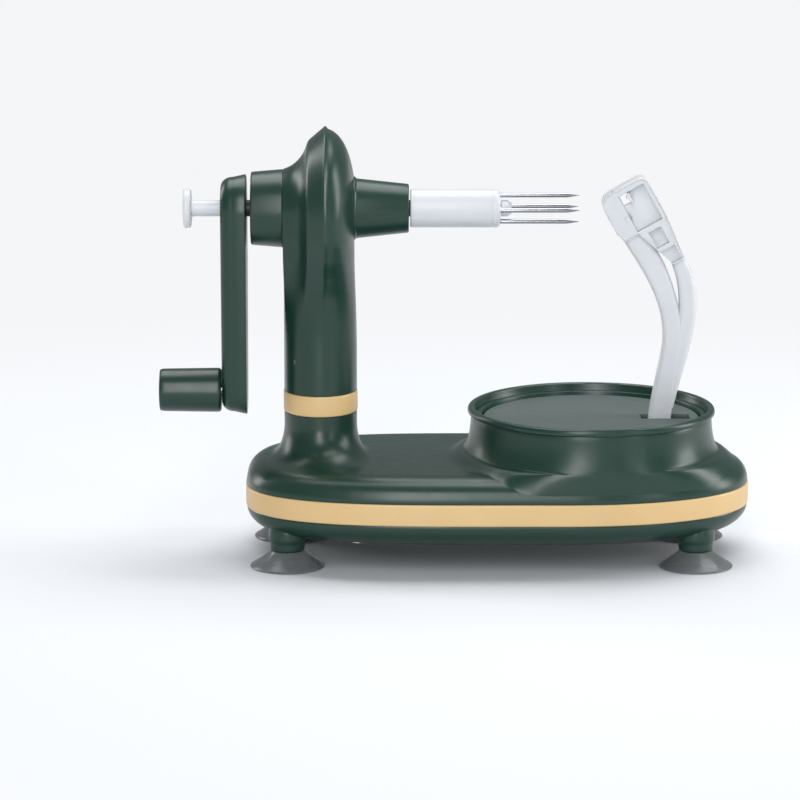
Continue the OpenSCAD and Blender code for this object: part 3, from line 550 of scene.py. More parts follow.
def make_dish():
    """The dish's wall: lip, groove, flared skirt, and the flange that meets the cover."""
    flare = bezier((LIP_Z - 3.3, 44.9), (COVER_TOP + 6, 45.2), (COVER_TOP + 2.8, 47.4), 12)
    profile = [
        (COVER_TOP - 4, DISH_INNER), (LIP_Z - 8, DISH_INNER), (LIP_Z - 2.6, DISH_INNER + 0.02),
        (LIP_Z - 2.4, DISH_INNER + 0.15), (LIP_Z - 0.9, DISH_INNER + 0.2), (LIP_Z - 0.35, DISH_INNER + 0.4),
        (LIP_Z - 0.05, DISH_INNER + 0.85), (LIP_Z, DISH_INNER + 1.3), (LIP_Z - 0.05, LIP_RADIUS - 0.9),
        (LIP_Z - 0.35, LIP_RADIUS - 0.4), (LIP_Z - 0.9, LIP_RADIUS - 0.1), (LIP_Z - 1.5, LIP_RADIUS),
        (LIP_Z - 2.1, LIP_RADIUS - 0.12), (LIP_Z - 2.4, LIP_RADIUS - 0.5), (LIP_Z - 2.55, 45.0),
        (LIP_Z - 2.7, 44.75), *flare,
    ]
    steps = 160
    rings = []
    for z, r in profile:
        rings.append([
            (DISH_X + soft_limit(r, dish_reach(a, 0.3, 60)) * math.cos(a),
             soft_limit(r, dish_reach(a, 0.3, 60)) * math.sin(a), z)
            for a in (2 * math.pi * i / steps for i in range(steps))])
    for k in range(SHOULDER_STEPS + 1):
        z_blend, reach = k / SHOULDER_STEPS, SHOULDER_START + SHOULDER_WIDTH * k / SHOULDER_STEPS
        ring = []
        for i in range(steps):
            a = 2 * math.pi * i / steps
            r = soft_limit(reach, dish_reach(a, 0.45 + z_blend * 0.35, 60))
            x, y = DISH_X + r * math.cos(a), r * math.sin(a)
            on_cover = cover_height(inset_at(x, y))
            crease = COVER_TOP + 2.45
            ease = z_blend * z_blend * (3 - 2 * z_blend)
            ring.append((x, y, crease + (on_cover + 0.02 - crease) * ease))
        rings.append(ring)
    rings.append([(DISH_X + (x - DISH_X) * 0.99, y * 0.975, z - 1.6) for x, y, z in rings[-1]])
    rings.append([(DISH_X + (DISH_INNER + 1) * math.cos(a), (DISH_INNER + 1) * math.sin(a), COVER_TOP - 4.5)
                  for a in (2 * math.pi * i / steps for i in range(steps))])
    return loft("dish", rings, closed=True)


def make_column_foot():
    """The foot of the column, its fillet ending on the cover's surface."""
    fillet = looks().foot_round / MM
    steps = 128

    def ring(out, z_of):
        points = []
        for i in range(steps):
            a = 2 * math.pi * i / steps
            x = COLUMN_X + (COLUMN_HALF_WIDTH + out * 0.62) * math.cos(a)
            y = (COLUMN_HALF_DEPTH + out * 1.75) * math.sin(a)
            points.append((x, y, z_of(x, y)))
        return points

    top = COLUMN_BAND_LOW[2]
    rings = [ring(-4, lambda x, y: top), ring(-0.3, lambda x, y: top), ring(0, lambda x, y: top - 0.3)]
    for a in range(0, 91, 6):
        out = fillet * (1 - math.cos(math.radians(a)))
        lift = 1.25 * fillet * (1 - math.sin(math.radians(a))) + 0.02
        rings.append(ring(out, lambda x, y, lift=lift: cover_height(inset_at(x, y)) + lift))
    rings.append(ring(fillet - 0.4, lambda x, y: cover_height(inset_at(x, y)) - 1.4))
    rings.append(ring(-4, lambda x, y: COVER_TOP - 1.4))
    return loft("foot", rings, closed=True)


class PEELER_OT_base_cover(bpy.types.Operator):
    """Build the top cover with its dish and the foot of the column"""

    bl_idname = "peeler.base_cover"
    bl_label = "Base cover"

    def execute(self, context):
        cover = join([make_cover_top(), make_dish(), make_column_foot()])
        finish(cover, "base_top_cover", "base", "green_gloss", ["base_top_shell"])
        return {"FINISHED"}


class PEELER_OT_base_pan(bpy.types.Operator):
    """Build the pan with its posts and screw wells"""

    bl_idname = "peeler.base_pan"
    bl_label = "Base pan"

    def execute(self, context):
        drop = BAND_LOW[2] - PAN_LOW
        rings = [outline_ring(BAND_LOW[2], 0.5), outline_ring(BAND_LOW[2] - 0.3, 0.35)]
        for a in range(6, 91, 6):
            s = math.sin(math.radians(a))
            rings.append(outline_ring(BAND_LOW[2] - 0.3 - (drop - 0.3) * s,
                                      0.35 + PAN_ROUND * (1 - math.cos(math.radians(a)))))
        rings.append(outline_ring(PAN_LOW, 30))
        inner = [outline_ring(BAND_LOW[2], PAN_INSET)]
        for a in range(90, 5, -12):
            s = math.sin(math.radians(a))
            inner.insert(1, outline_ring(BAND_LOW[2] - (drop - WALL) * s,
                                         PAN_INSET + PAN_ROUND * (1 - math.cos(math.radians(a)))))
        pan = loft("pan", rings)
        hollow = loft("hollow", [outline_ring(BAND_LOW[2] + 1, PAN_INSET), *inner,
                                 outline_ring(PAN_LOW + WALL, 30)])
        cut(pan, hollow)
        for x, y in SCREW_SPOTS:
            cut(pan, turned("well", [(PAN_LOW - 2, SCREW_WELL_RADIUS), (PAN_LOW + 6, SCREW_WELL_RADIUS)],
                            "Z", (x, y), 40))
        pieces = [pan]
        for x, y in SCREW_SPOTS:
            low = PAN_LOW + 0.3 + (2.2 if abs(y) > 20 else 0)
            top = PAN_LOW + 5
            pieces.append(turned("boss", [
                (low, 2.9), (low - 0.25, 3.1), (low - 0.25, 3.7), (low, 3.9), (top, 3.9), (top, 1.6),
                (PAN_LOW + 3.05, 1.6), (PAN_LOW + 3.05, 2.85)
            ], "Z", (x, y), 40, closed=True))
        for x, y in FEET:
            post = rounded([(PAN_LOW + 7, 6.4), (PAN_LOW + 3, 7.0, 1), (PAN_LOW + 0.4, 7.0, 1),
                            (PAN_LOW - 1, 6.45, 0.6), (6.6, 6.35, 0.5),
                            (6.0, 6.0, 0.4), (6.0, 3.1)], 0.5)
            pieces.append(turned("post", post, "Z", (x, y), 64))
        finish(join(pieces), "base_pan", "base", "green_gloss", ["base_bottom_pan"])
        return {"FINISHED"}


def band_path(low, high, lifts, offsets):
    """The section of a trim band, the same at its lower and its upper edge."""
    edge = list(zip(lifts, offsets))
    return ([(low + lift, offset) for lift, offset in edge]
            + [(high - lift, offset) for lift, offset in reversed(edge)])


class PEELER_OT_trim_bands(bpy.types.Operator):
    """Build the trim bands round the base and the column"""

    bl_idname = "peeler.trim_bands"
    bl_label = "Trim bands"

    def execute(self, context):
        low, high = BAND_LOW[2], BAND_HIGH[2]
        path = band_path(low, high, (0, 0, 0.12, 0.4, 0.9), (2.2, 0.45, 0.2, 0.02, -0.03))
        band = loft("band", [outline_ring(z, inset) for z, inset in path], closed=True)
        finish(band, "base_band", "base", "gold_trim", ["base_trim_band"])
        low, high = COLUMN_BAND_LOW[2], COLUMN_BAND_HIGH[2]
        path = band_path(low, high, (0, 0, 0.12, 0.4, 0.8), (-2, 0.0, 0.14, 0.24, 0.27))
        band = loft("collar", [column_ring(z, out) for z, out in path], closed=True)
        finish(band, "column_band", "base", "gold_trim", ["column_trim_band"])
        return {"FINISHED"}


def column_ring(z, out, steps=128):
    return [(COLUMN_X + (COLUMN_HALF_WIDTH + out) * math.cos(a), (COLUMN_HALF_DEPTH + out) * math.sin(a), z)
            for a in (2 * math.pi * i / steps for i in range(steps))]


HEAD_LEFT = BOSS_HIGH[0]
HEAD_RIGHT = NOSE_LOW[0]
HEAD_RADIUS = box_mm("gear_housing_right")[1][2] - AXIS_Z
RIDGE_X = COLUMN_X + 1.9
FACET_X = COLUMN_X - 4.2


def head_profile():
    """Place and radius across the head, from the boss to the nose."""
    flare = bezier((HEAD_LEFT, 14.6), (COLUMN_X - 6.9, 16.6), (FACET_X - 0.5, HEAD_RADIUS - 6.2), 12)
    facet = [(FACET_X, HEAD_RADIUS - 5.35), (FACET_X + 0.6, HEAD_RADIUS - 4.75)]
    strip = [(FACET_X + (RIDGE_X - FACET_X) * t, HEAD_RADIUS - 5.25 + 5.2 * t)
             for t in (0.3, 0.5, 0.7, 0.85, 0.93)]
    ridge = [(RIDGE_X - 0.12, HEAD_RADIUS - 0.08), (RIDGE_X + 0.25, HEAD_RADIUS - 0.16),
             (RIDGE_X + 0.7, HEAD_RADIUS - 0.62)]
    back = bezier((RIDGE_X + 1.1, HEAD_RADIUS - 1.1), (COLUMN_X + 10.4, HEAD_RADIUS - 3.6),
                  (HEAD_RIGHT, 11.6), 14)
    return flare + facet + strip + ridge + back


def neck_depth(below):
    """The share of the head's depth that is left at a height below the axis."""
    curve = [(0, 1.0), (8, 0.975), (16, 0.9), (24, 0.79), (32, 0.68), (40, 0.595), (48, 0.545), (56, 0.52),
             (70, 0.508)]
    for (a, p), (b, q) in zip(curve, curve[1:]):
        if below <= b:
            t = (below - a) / (b - a)
            t = t * t * (3 - 2 * t) * 0.35 + t * 0.65
            return p + (q - p) * t
    return curve[-1][1]


class PEELER_OT_column(bpy.types.Operator):
    """Build the column and its round head as one smooth shell"""

    bl_idname = "peeler.column"
    bl_label = "Column and head"

    def execute(self, context):
        profile = head_profile()
        travelled = [math.dist(profile[0], (HEAD_LEFT, 0)) * 0.4]
        for before, after in zip(profile, profile[1:]):
            travelled.append(travelled[-1] + math.dist(before, after))
        length = travelled[-1] + 0.4 * profile[-1][1]
        start, end = looks().neck_start / MM, looks().neck_end / MM

        def whole(side):
            """Both sides of a ring, from the left middle round the front to the right middle and back."""
            return [side[0], *side[1:-1], side[-1], *[(x, -y, z) for x, y, z in reversed(side[1:-1])]]

        rings = []
        foot = COLUMN_BAND_HIGH[2]
        heights = [foot, foot + 0.25] + [foot + 0.6 + (AXIS_Z - foot - 0.6) * k / 60 for k in range(61)]
        for z in heights:
            below = AXIS_Z - z
            t = min(max((below - start) / (end - start), 0), 1)
            weight = t * t * t * (t * (6 * t - 15) + 10)
            depth = neck_depth(below)
            draw_in = 0.3 if z == foot else 0
            half_w, half_d = COLUMN_HALF_WIDTH - draw_in, COLUMN_HALF_DEPTH - draw_in
            side = [(COLUMN_X - half_w + (HEAD_LEFT - COLUMN_X + half_w) * (1 - weight), 0, z)]
            for i, (x, r) in enumerate(profile):
                a = math.pi * (1 - travelled[i] / length)
                round_x, round_y = COLUMN_X + half_w * math.cos(a), half_d * math.sin(a)
                side.append((x + (round_x - x) * weight, r * depth + (round_y - r * depth) * weight, z))
            side.append((COLUMN_X + half_w + (HEAD_RIGHT - COLUMN_X - half_w) * (1 - weight), 0, z))
            rings.append(whole(side))
        for k in range(1, 31):
            a = math.radians(90 - 3 * k)
            side = [(HEAD_LEFT, 0, AXIS_Z)]
            side += [(x, r * math.sin(a), AXIS_Z + r * math.cos(a)) for x, r in profile]
            side.append((HEAD_RIGHT, 0, AXIS_Z))
            rings.append(whole(side))
        shell = loft("column", rings, caps=False)
        activate(shell)
        bpy.ops.object.mode_set(mode="EDIT")
        bpy.ops.mesh.select_all(action="SELECT")
        bpy.ops.mesh.remove_doubles(threshold=0.00002)
        bpy.ops.mesh.select_mode(type="EDGE")
        bpy.ops.mesh.select_all(action="DESELECT")
        bpy.ops.mesh.select_non_manifold(extend=False)
        bpy.ops.mesh.edge_face_add()
        bpy.ops.mesh.select_all(action="SELECT")
        bpy.ops.mesh.normals_make_consistent(inside=False)
        bpy.ops.object.mode_set(mode="OBJECT")
        finish(shell, "column_and_head", "base", "green_gloss",
               ["gear_housing_left", "gear_housing_right"], angle=32)
        return {"FINISHED"}


class PEELER_OT_boss_and_nose(bpy.types.Operator):
    """Build the crank boss and the nose"""

    bl_idname = "peeler.boss_and_nose"
    bl_label = "Crank boss and nose"

    def execute(self, context):
        centre = (0, AXIS_Z)
        boss = rounded([(BOSS_HIGH[0], 6), (BOSS_HIGH[0], 14.3, 0.2), (BOSS_HIGH[0] - 0.5, 14.45, 0.2),
                        (BOSS_LOW[0], 13.5, 0.7), (BOSS_LOW[0], 5.2, 0.4), (BOSS_LOW[0] + 0.8, 5.0, 0.2),
                        (BOSS_LOW[0] + 0.8, 3.4)], 0.3)
        boss.append((BOSS_HIGH[0], 3.4))
        finish(turned("boss", boss, "X", centre, closed=True), "crank_boss", "base", "green_gloss",
               ["crank_bearing_cap"])
        nose = rounded([(NOSE_LOW[0] - 0.6, 6), (NOSE_LOW[0] - 0.6, 11.9, 0.2),
                        (NOSE_LOW[0] + 0.3, 11.75, 0.3), (NOSE_LOW[0] + 1.0, 11.05, 0.3),
                        (NOSE_LOW[0] + 1.5, 11.0, 0.3), (NOSE_HIGH[0], 9.0, 0.6),
                        (NOSE_HIGH[0], 3.4)], 0.3)
        nose.append((NOSE_LOW[0] - 0.6, 3.4))
        finish(turned("nose", nose, "X", centre, closed=True), "nose", "base", "green_gloss",
               ["nose_cone"])
        return {"FINISHED"}


class PEELER_OT_crank(bpy.types.Operator):
    """Build the crank arm and its knob"""

    bl_idname = "peeler.crank"
    bl_label = "Crank and knob"

    def execute(self, context):
        top_r, end_r = 12.6, 9.0
        throw = AXIS_Z - KNOB_Z
        slope = math.asin((top_r - end_r) / throw)

        def ring(x, inset):
            points = []
            for i in range(49):
                a = -slope + (math.pi + 2 * slope) * i / 48
                points.append((x, (top_r - inset) * math.cos(a), AXIS_Z + (top_r - inset) * math.sin(a)))
            for i in range(33):
                a = math.pi + slope + (math.pi - 2 * slope) * i / 32
                points.append((x, (end_r - inset) * math.cos(a), KNOB_Z + (end_r - inset) * math.sin(a)))
            return points

        inner, outer = CRANK_HIGH[0], CRANK_LOW[0]
        path = [(inner, 0.35), (inner - 0.12, 0.1), (inner - 0.4, 0.0), (inner - 4.6, 0.9)]
        path += [(outer + 4.3 * (1 - math.sin(math.radians(a))),
                  1.0 + 3.6 * (1 - math.cos(math.radians(a))))
                 for a in range(0, 91, 10)]
        arm = loft("arm", [ring(x, inset) for x, inset in path])
        cut(arm, turned("bore", [(outer - 1, 4.6), (inner + 1, 4.6)], "X", (0, AXIS_Z), 64))
        finish(arm, "crank_arm_shell", "crank", "green_gloss", ["crank_arm"])
        left, right = KNOB_LOW[0], KNOB_HIGH[0]
        grip = rounded([(left + 0.5, 3.5), (left + 0.5, 5.2, 0.4), (left, 5.6, 0.4), (left, 7.7, 1.6),
                        (left + 1.6, 7.95, 0.6), (right - 0.9, 8.25, 0.4), (right, 7.7, 0.5),
                        (right, 2.7)], 0.4)
        knob = turned("knob", grip, "X", (0, KNOB_Z))
        finish(knob, "knob_grip", "knob", "green_gloss", ["handle_knob", "knob_end_cap"])
        return {"FINISHED"}


class PEELER_OT_fork(bpy.types.Operator):
    """Build the fork tube and its four pins"""

    bl_idname = "peeler.fork"
    bl_label = "Fork"

    def execute(self, context):
        centre = (0, AXIS_Z)
        left, right = TUBE_LOW[0], TUBE_HIGH[0]
        path = rounded([(left, 3.2), (left, 6.7, 0.3), (left + 0.4, 7.1, 0.4), (right - 3.1, 7.1, 0.05),
                        (right - 3.0, 6.95, 0.05), (right - 2.7, 6.95, 0.05), (right - 2.6, 7.1, 0.05),
                        (right - 0.9, 7.1, 0.4), (right, 6.2, 0.4), (right, 1.7)], 0.3)
        path.append((left, 1.7))
        tube = turned("tube", path, "X", centre, closed=True)
        finish(tube, "fork_tube_shell", "crank", "white_plastic", ["fork_tube"])
        pins = []
        circle = 4.9
        radius = 0.85
        tip = PINS_HIGH[0]
        for a in (0, 90, 180, 270):
            spot = (circle * math.cos(math.radians(a)), AXIS_Z + circle * math.sin(math.radians(a)))
            path = [(right - 3, radius), (tip - 5.2, radius), (tip - 4.4, radius * 0.96),
                    (tip - 3, radius * 0.72), (tip - 1.4, radius * 0.4), (tip - 0.4, radius * 0.16),
                    (tip, 0.05)]
            pins.append(turned("pin", path, "X", spot, 28))
        finish(join(pins), "fork_pin_set", "crank", "polished_steel", ["fork_pins"])
        return {"FINISHED"}


class PEELER_OT_ejector(bpy.types.Operator):
    """Build the ejector button and the tip between the pins"""

    bl_idname = "peeler.ejector"
    bl_label = "Ejector"

    def execute(self, context):
        centre = (0, AXIS_Z)
        left, right = BUTTON_LOW[0], BUTTON_HIGH[0]
        path = rounded([(left + 0.35, 0.5), (left, 5.6, 0.8), (left + 0.25, 7.2, 0.5),
                        (left + 1.4, 7.4, 0.7), (left + 2.8, 7.1, 0.5), (left + 3.1, 5.8, 0.6),
                        (left + 3.1, 3.2, 0.5), (left + 3.8, 3.0, 0.4), (right, 3.0, 0.1),
                        (right, 1.5)], 0.4)
        finish(turned("button", path, "X", centre), "ejector_plunger", "ejector", "white_plastic",
               ["ejector_button"])
        left, right = TIP_LOW[0], TIP_HIGH[0]
        path = rounded([(left, 0.5), (left, 3.0, 0.3), (left + 2.6, 3.0, 0.2), (left + 2.8, 2.5, 0.2),
                        (right - 0.6, 2.3, 0.4), (right, 1.7, 0.4), (right, 0.4)], 0.3)
        finish(turned("tip", path, "X", centre, 64), "ejector_nose", "ejector", "white_plastic",
               ["ejector_tip"])
        return {"FINISHED"}


class PEELER_OT_turntable(bpy.types.Operator):
    """Build the turntable's disc and the ring round it"""

    bl_idname = "peeler.turntable"
    bl_label = "Turntable"

    def execute(self, context):
        top = DISC_TOP
        hub_low = box_mm("turntable_disc")[0][2]
        path = rounded([(hub_low, 4.1), (hub_low, 8.9, 0.3), (top - 2.6, 9.0, 0.3),
                        (top - 2.6, DISC_RADIUS - 0.6, 0.3), (top - 2.0, DISC_RADIUS, 0.3),
                        (top - 0.4, DISC_RADIUS, 0.4), (top, DISC_RADIUS - 0.6, 0.4),
                        (top, 34), (top, 20), (top, 4)], 0.3)
        disc = turned("disc", path, "Z", (DISH_X, 0), 144)
        deselect()
        slot_low, slot_high = DISH_X + SLOT_START, DISH_X + SLOT_END
        bpy.ops.mesh.primitive_cube_add(size=1, location=((slot_low + slot_high) / 2 * MM, 0,
                                                          (top - 1.5) * MM))
        slot = bpy.context.object
        slot.scale = ((slot_high - slot_low) * MM, SLOT_WIDTH * MM, 6 * MM)
        bpy.ops.object.transform_apply(location=True, rotation=False, scale=True)
        cut(disc, slot)
        soften(disc, 0.25, 50, 2)
        finish(disc, "turntable_plate", "turntable", "turntable_green", ["turntable_disc"])
        low, high = box_mm("dish_rim_ring")[0][2], box_mm("dish_rim_ring")[1][2]
        inner = DISC_RADIUS + 0.4
        path = [(low, DISH_INNER - 0.02), (low, inner), (high - 0.5, inner), (high - 0.15, inner + 0.15),
                (high, inner + 0.5), (high, DISH_INNER - 0.6), (high - 0.15, DISH_INNER - 0.2),
                (high - 0.5, DISH_INNER - 0.02)]
        ring = turned("ring", path, "Z", (DISH_X, 0), 144, closed=True)
        finish(ring, "rim_ring", "base", "green_gloss", ["dish_rim_ring"])
        return {"FINISHED"}


class PEELER_OT_suction_cups(bpy.types.Operator):
    """Build the four suction cups"""

    bl_idname = "peeler.suction_cups"
    bl_label = "Suction cups"

    def execute(self, context):
        cups = []
        for spot in FEET:
            outer = bezier((6.0, 6.2), (3.4, 9.0), (0.5, CUP_RADIUS - 0.1), 10)
            inner = bezier((0.3, CUP_RADIUS - 1.2), (2.4, 8.4), (4.4, 0.6), 10)
            path = [(11, 0.6), (11, 2.9), (6.0, 2.9), *outer, (0.3, CUP_RADIUS), (0.0, CUP_RADIUS - 0.15),
                    (0.0, CUP_RADIUS - 0.9), *inner]
            cups.append(turned("cup", path, "Z", spot, 72, closed=False))
        finish(join(cups), "suction_cup_set", "base", "clear_vinyl", ["suction_cups"])
        return {"FINISHED"}


def strand_ring(left, right, half_depth, power=4.5, steps=40):
    """A rounded section between two edge points, in the plane across the strand."""
    cx, cz = (left[0] + right[0]) / 2, (left[1] + right[1]) / 2
    wx, wz = (right[0] - left[0]) / 2, (right[1] - left[1]) / 2
    ring = []
    for i in range(steps):
        a = 2 * math.pi * (i + 0.5) / steps
        u, v = signed_power(math.cos(a), 2 / power), signed_power(math.sin(a), 2 / power)
        ring.append((cx + wx * u, half_depth * v, cz + wz * u))
    return ring


def strand(name, stations, half_depth, power=4.5):
    return loft(name, [strand_ring(s[:2], s[2:4], half_depth, power) for s in smooth_path(stations, 5)])


HOLDER_LEAN = math.radians(29)
HOLDER_CENTRE = (ARM_PIVOT[0] - 9.4, AXIS_Z + 0.1)


def on_holder(points):
    """From directions across and along the blade holder to X and Z."""
    c, s = math.cos(HOLDER_LEAN), math.sin(HOLDER_LEAN)
    return [(HOLDER_CENTRE[0] + w * c - u * s, HOLDER_CENTRE[1] + w * s + u * c) for w, u in points]


def block(name, points, low, high):
    """A cutter with an outline across and along the holder, from one depth to another."""
    return loft(name, [[(x, y, z) for x, z in on_holder(points)] for y in (low, high)])


def both_faces(web):
    """The depths of two cuts, one from each face of the holder, that stop this far from its middle."""
    return [(-8, -web), (web, 8)]


class PEELER_OT_peeling_arm(bpy.types.Operator):
    """Build the two-stranded peeling arm and its blade holder"""

    bl_idname = "peeler.peeling_arm"
    bl_label = "Peeling arm"

    def execute(self, context):
        front = [
            (71.2, 42.5, 79.6, 42.5), (71.9, 47, 80.3, 47), (72.9, 56, 81.3, 55.6), (74.8, 66, 82.6, 64.6),
            (76.7, 75.5, 83.8, 74.6), (77.3, 83, 84.5, 83.8), (76.1, 91.5, 83.2, 92.6),
            (73.0, 100, 80.6, 102), (69.0, 107.5, 77.0, 110.6), (64.9, 114, 72.2, 118),
            (62.3, 118.1, 69.0, 121.6),
        ]
        back = [
            (75.5, 56, 81.6, 55), (78.2, 66, 83.9, 64.6), (80.6, 76, 86.6, 74.4), (82.4, 85, 88.9, 84.4),
            (83.1, 92, 89.8, 92.6), (82.9, 98.5, 89.4, 100.5), (81.9, 104.5, 87.6, 107),
            (80.2, 109.6, 84.9, 112.4),
        ]
        hub = [(-3.5, 0.5), (-3.5, 3.6), (-3.1, 4.0), (3.1, 4.0), (3.5, 3.6), (3.5, 0.5)]
        pieces = [
            strand("front", front, 3.5),
            strand("back", back, 3.15, 3.6),
            turned("hub", hub, "Y", (ARM_PIVOT[0], ARM_PIVOT[2]), 48),
        ]
        finish(join(pieces), "arm_strands", "arm", "white_plastic", ["peeling_arm"], 45)

        outline = rounded([(-8.6, -9), (-9.6, -4, 3), (-9.7, 9.2, 5.5), (9.6, 9.2, 3.4), (9.8, -8, 4),
                           (8.0, -25)], 3, 7)
        outline += [(3.1, -25), (0.3, -17), (-2.5, -9)]
        holder = slab("holder", on_holder(outline), -5.5, 5.5, 0.8)
        recess = [(-2.5, -8.2), (8.0, -8.2), (8.0, 7.0), (-2.5, 7.0)]
        window = [(0.9, -17.2), (6.0, -17.2), (6.0, -10.2), (0.9, -10.2)]
        pocket = [(1.6, -24.6), (7.0, -24.6), (7.2, -18.8), (0.2, -18.8)]
        for shape, depths in (
            ([(-12, -7.2), (-3.4, -7.2), (-3.4, 12), (-12, 12)], [(-3.9, 3.9)]),
            (recess, both_faces(0.8)),
            ([(-2.3, 2.2), (1.2, 2.2), (1.2, 6.2), (-2.3, 6.2)], [(-3, 3)]),
            (window, both_faces(1.5)),
            (pocket, both_faces(2.4)),
        ):
            for low, high in depths:
                cut(holder, block("cutter", shape, low, high))
        soften(holder, 0.22, 50, 2)
        wedge = block("wedge", [(1.1, 6.4), (-0.2, 4.9), (1.2, 2.4), (1.6, 2.4), (1.6, 6.4)], -4.6, -1.6)
        finish(join([holder, wedge]), "blade_head", "arm", "white_plastic", ["blade_holder"], 30)
        return {"FINISHED"}


class PEELER_OT_cad_finishes(bpy.types.Operator):
    """Give every part that is carried over from the frame its finish"""

    bl_idname = "peeler.cad_finishes"
    bl_label = "Mechanism finishes"

    def execute(self, context):
        slots = {part["node"]: part["material_slot"] for part in frame["record"]["subparts"]}
        # main_shaft shows only in the narrow gap by the crank, where it lies dark in shade; the black finish
        # on it is painted shade
        seen_as = {"main_shaft": "black", "housing_screws": "black", "blade_pin": "white"}
        for node, obj in frame["nodes"].items():
            material = FINISHES[seen_as.get(node, SLOT_FINISHES[slots[node]])]
            if obj.data.materials:
                for k in range(len(obj.data.materials)):
                    obj.data.materials[k] = material
            else:
                obj.data.materials.append(material)
        return {"FINISHED"}


class PEELER_OT_finishes(bpy.types.Operator):
    """Make the finishes"""

    bl_idname = "peeler.finishes"
    bl_label = "Finishes"

    def execute(self, context):
        chosen = looks()
        FINISHES["body"] = moulded("satin_green_plastic", tuple(chosen.body_colour), 0.31, 0.03)
        FINISHES["trim"] = moulded("gold_trim_plastic", tuple(chosen.trim_colour), 0.38, 0.05)
        FINISHES["disc"] = moulded("matte_turntable_plastic", tuple(chosen.disc_colour), 0.5, 0.16)
        FINISHES["white"] = moulded("white_plastic", tuple(chosen.white_colour), 0.34, 0.04)
        FINISHES["vinyl"] = vinyl("clear_vinyl", (0.4, 0.42, 0.43))
        FINISHES["steel"] = metal("polished_steel", (0.4, 0.41, 0.44), 0.16, (0.2, 3, 3))
        FINISHES["plain_steel"] = metal("plain_steel", (0.5, 0.51, 0.53), 0.3)
        FINISHES["acetal"] = moulded("acetal", (0.66, 0.65, 0.6), 0.4)
        FINISHES["bronze"] = metal("bronze", (0.5, 0.33, 0.14), 0.34)
        # Black nylon for the black parts; on main_shaft this black is painted shade
        FINISHES["black"] = moulded("black_nylon_and_painted_shade", (0.02, 0.024, 0.023), 0.45)
        return {"FINISHED"}


def area_light(name, place, target, width, height, power, colour=(1, 1, 1)):
    lamp = bpy.data.lights.new(name, "AREA")
    lamp.shape = "RECTANGLE"
    lamp.size, lamp.size_y = width, height
    lamp.energy = power
    lamp.color = colour
    obj = bpy.data.objects.new(name, lamp)
    bpy.context.collection.objects.link(obj)
    obj.location = place
    obj.rotation_euler = (Vector(target) - Vector(place)).to_track_quat("-Z", "Y").to_euler()
    return obj


def seen_plain(material, colour, strength, share):
    """Mixes a plain glow into what camera, glossy and clear rays see of a material, so it stays pale."""
    nodes, links = material.node_tree.nodes, material.node_tree.links
    rays = nodes.new("ShaderNodeLightPath")
    seen = rays.outputs["Is Camera Ray"]
    for kind in ("Is Glossy Ray", "Is Transmission Ray"):
        either = nodes.new("ShaderNodeMath")
        either.operation = "MAXIMUM"
        links.new(seen, either.inputs[0])
        links.new(rays.outputs[kind], either.inputs[1])
        seen = either.outputs[0]
    scaled = nodes.new("ShaderNodeMath")
    scaled.operation = "MULTIPLY"
    links.new(seen, scaled.inputs[0])
    place = nodes.new("ShaderNodeTexCoord")
    length = nodes.new("ShaderNodeVectorMath")
    length.operation = "LENGTH"
    links.new(place.outputs["Object"], length.inputs[0])
    spread = nodes.new("ShaderNodeMapRange")
    spread.interpolation_type = "SMOOTHSTEP"
    for field, value in (("From Min", 0.14), ("From Max", 0.6), ("To Min", share), ("To Max", 1.0)):
        spread.inputs[field].default_value = value
    links.new(length.outputs["Value"], spread.inputs["Value"])
    links.new(spread.outputs["Result"], scaled.inputs[1])
    glow = nodes.new("ShaderNodeEmission")
    glow.inputs["Color"].default_value = (*colour, 1)
    glow.inputs["Strength"].default_value = strength
    mix = nodes.new("ShaderNodeMixShader")
    links.new(scaled.outputs[0], mix.inputs["Fac"])
    output = nodes["Material Output"]
    links.new(nodes["Principled BSDF"].outputs[0], mix.inputs[1])
    links.new(glow.outputs[0], mix.inputs[2])
    links.new(mix.outputs[0], output.inputs["Surface"])


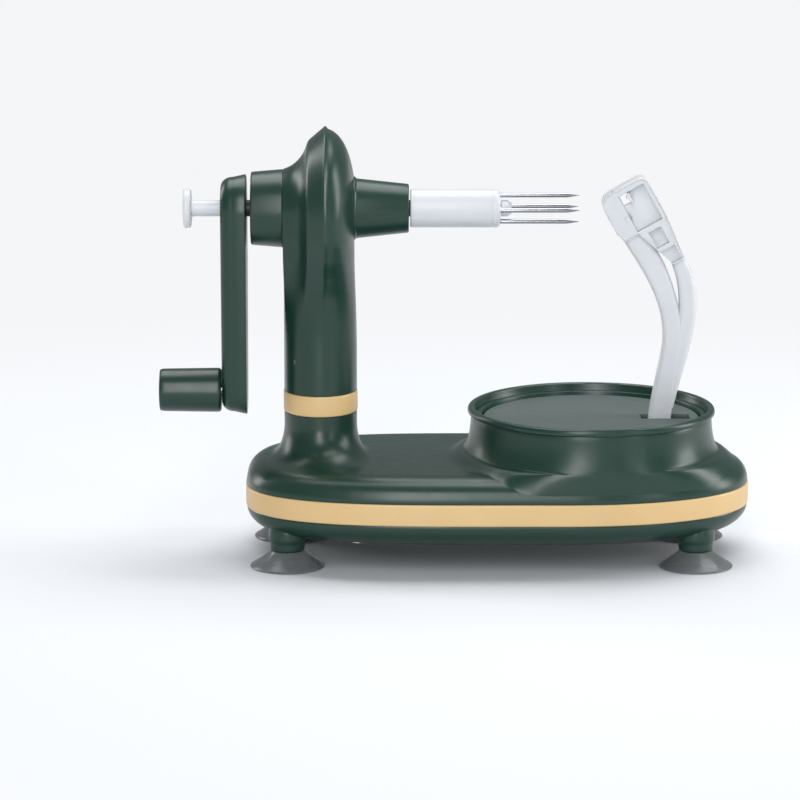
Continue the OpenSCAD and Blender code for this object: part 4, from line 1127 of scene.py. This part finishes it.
class PEELER_OT_stage(bpy.types.Operator):
    """Build the floor, lights, world and camera"""

    bl_idname = "peeler.stage"
    bl_label = "Stage"

    def execute(self, context):
        scene = context.scene
        scene.view_settings.view_transform = "Standard"
        deselect()
        bpy.ops.mesh.primitive_plane_add(size=14, location=(0, 0, -0.0002))
        floor = bpy.context.object
        floor.name = "floor"
        paper = Finish("pale_floor").set(IOR=1.3)
        paper.set(Base_Color=(0.72, 0.74, 0.77, 1), Roughness=0.7)
        paper.bump(paper.noise(40, 2), 0.02, 0.0005)
        seen_plain(paper.material, (0.915, 0.92, 0.93), 1.0, 0.0)
        floor.data.materials.append(paper.material)

        world = bpy.data.worlds.new("studio")
        scene.world = world
        world.use_nodes = True
        nodes, links = world.node_tree.nodes, world.node_tree.links
        back = nodes["Background"]
        back.inputs["Color"].default_value = (0.93, 0.95, 1.0, 1)
        back.inputs["Strength"].default_value = 0.3
        white = nodes.new("ShaderNodeBackground")
        white.inputs["Color"].default_value = (0.915, 0.92, 0.93, 1)
        white.inputs["Strength"].default_value = 1.0
        rays = nodes.new("ShaderNodeLightPath")
        mix = nodes.new("ShaderNodeMixShader")
        links.new(rays.outputs["Is Camera Ray"], mix.inputs["Fac"])
        links.new(back.outputs[0], mix.inputs[1])
        links.new(white.outputs[0], mix.inputs[2])
        links.new(mix.outputs[0], nodes["World Output"].inputs["Surface"])

        middle_of_it = (0.0, 0.0, 0.07)
        area_light("key", (-0.12, -1.25, 0.62), middle_of_it, 0.34, 1.3, 10.5)
        area_light("front_strip", (0.75, -0.95, 0.35), middle_of_it, 0.12, 0.9, 1.6)
        area_light("right", (1.2, 0.1, 0.45), middle_of_it, 0.4, 0.9, 7)
        area_light("top", (0.1, 0.35, 1.2), middle_of_it, 1.3, 0.9, 14)
        area_light("rim", (-1.1, 0.7, 0.5), middle_of_it, 0.4, 0.9, 5)

        lens = bpy.data.cameras.new("camera")
        lens.lens = 180
        lens.sensor_width = 36
        camera = bpy.data.objects.new("camera", lens)
        context.collection.objects.link(camera)
        camera.location = (-0.0204, -1.4635, 0.358)
        target = Vector((-0.0204, 0, 0.0576))
        camera.rotation_euler = (target - camera.location).to_track_quat("-Z", "Y").to_euler()
        scene.camera = camera
        return {"FINISHED"}


class PEELER_PT_panel(bpy.types.Panel):
    """Lists the pieces and their settings"""

    bl_idname = "PEELER_PT_panel"
    bl_label = "Crank Peeler"
    bl_space_type = "VIEW_3D"
    bl_region_type = "UI"
    bl_category = "Crank Peeler"

    def draw(self, context):
        for name in PeelerLooks.__annotations__:
            self.layout.prop(context.scene.peeler_looks, name)
        for operator in OPERATORS:
            self.layout.operator(operator.bl_idname)


OPERATORS = (
    PEELER_OT_finishes, PEELER_OT_cad_finishes, PEELER_OT_base_cover, PEELER_OT_base_pan,
    PEELER_OT_trim_bands, PEELER_OT_column, PEELER_OT_boss_and_nose, PEELER_OT_crank, PEELER_OT_fork,
    PEELER_OT_ejector, PEELER_OT_turntable, PEELER_OT_suction_cups, PEELER_OT_peeling_arm,
    PEELER_OT_stage,
)
CLASSES = (PeelerLooks, *OPERATORS, PEELER_PT_panel)


def register():
    for item in CLASSES:
        bpy.utils.register_class(item)
    bpy.types.Scene.peeler_looks = bpy.props.PointerProperty(type=PeelerLooks)


def unregister():
    del bpy.types.Scene.peeler_looks
    for item in reversed(CLASSES):
        bpy.utils.unregister_class(item)


def main():
    register()
    for operator in OPERATORS:
        group, name = operator.bl_idname.split(".")
        getattr(getattr(bpy.ops, group), name)()
    deselect()


if __name__ == "__main__":
    main()
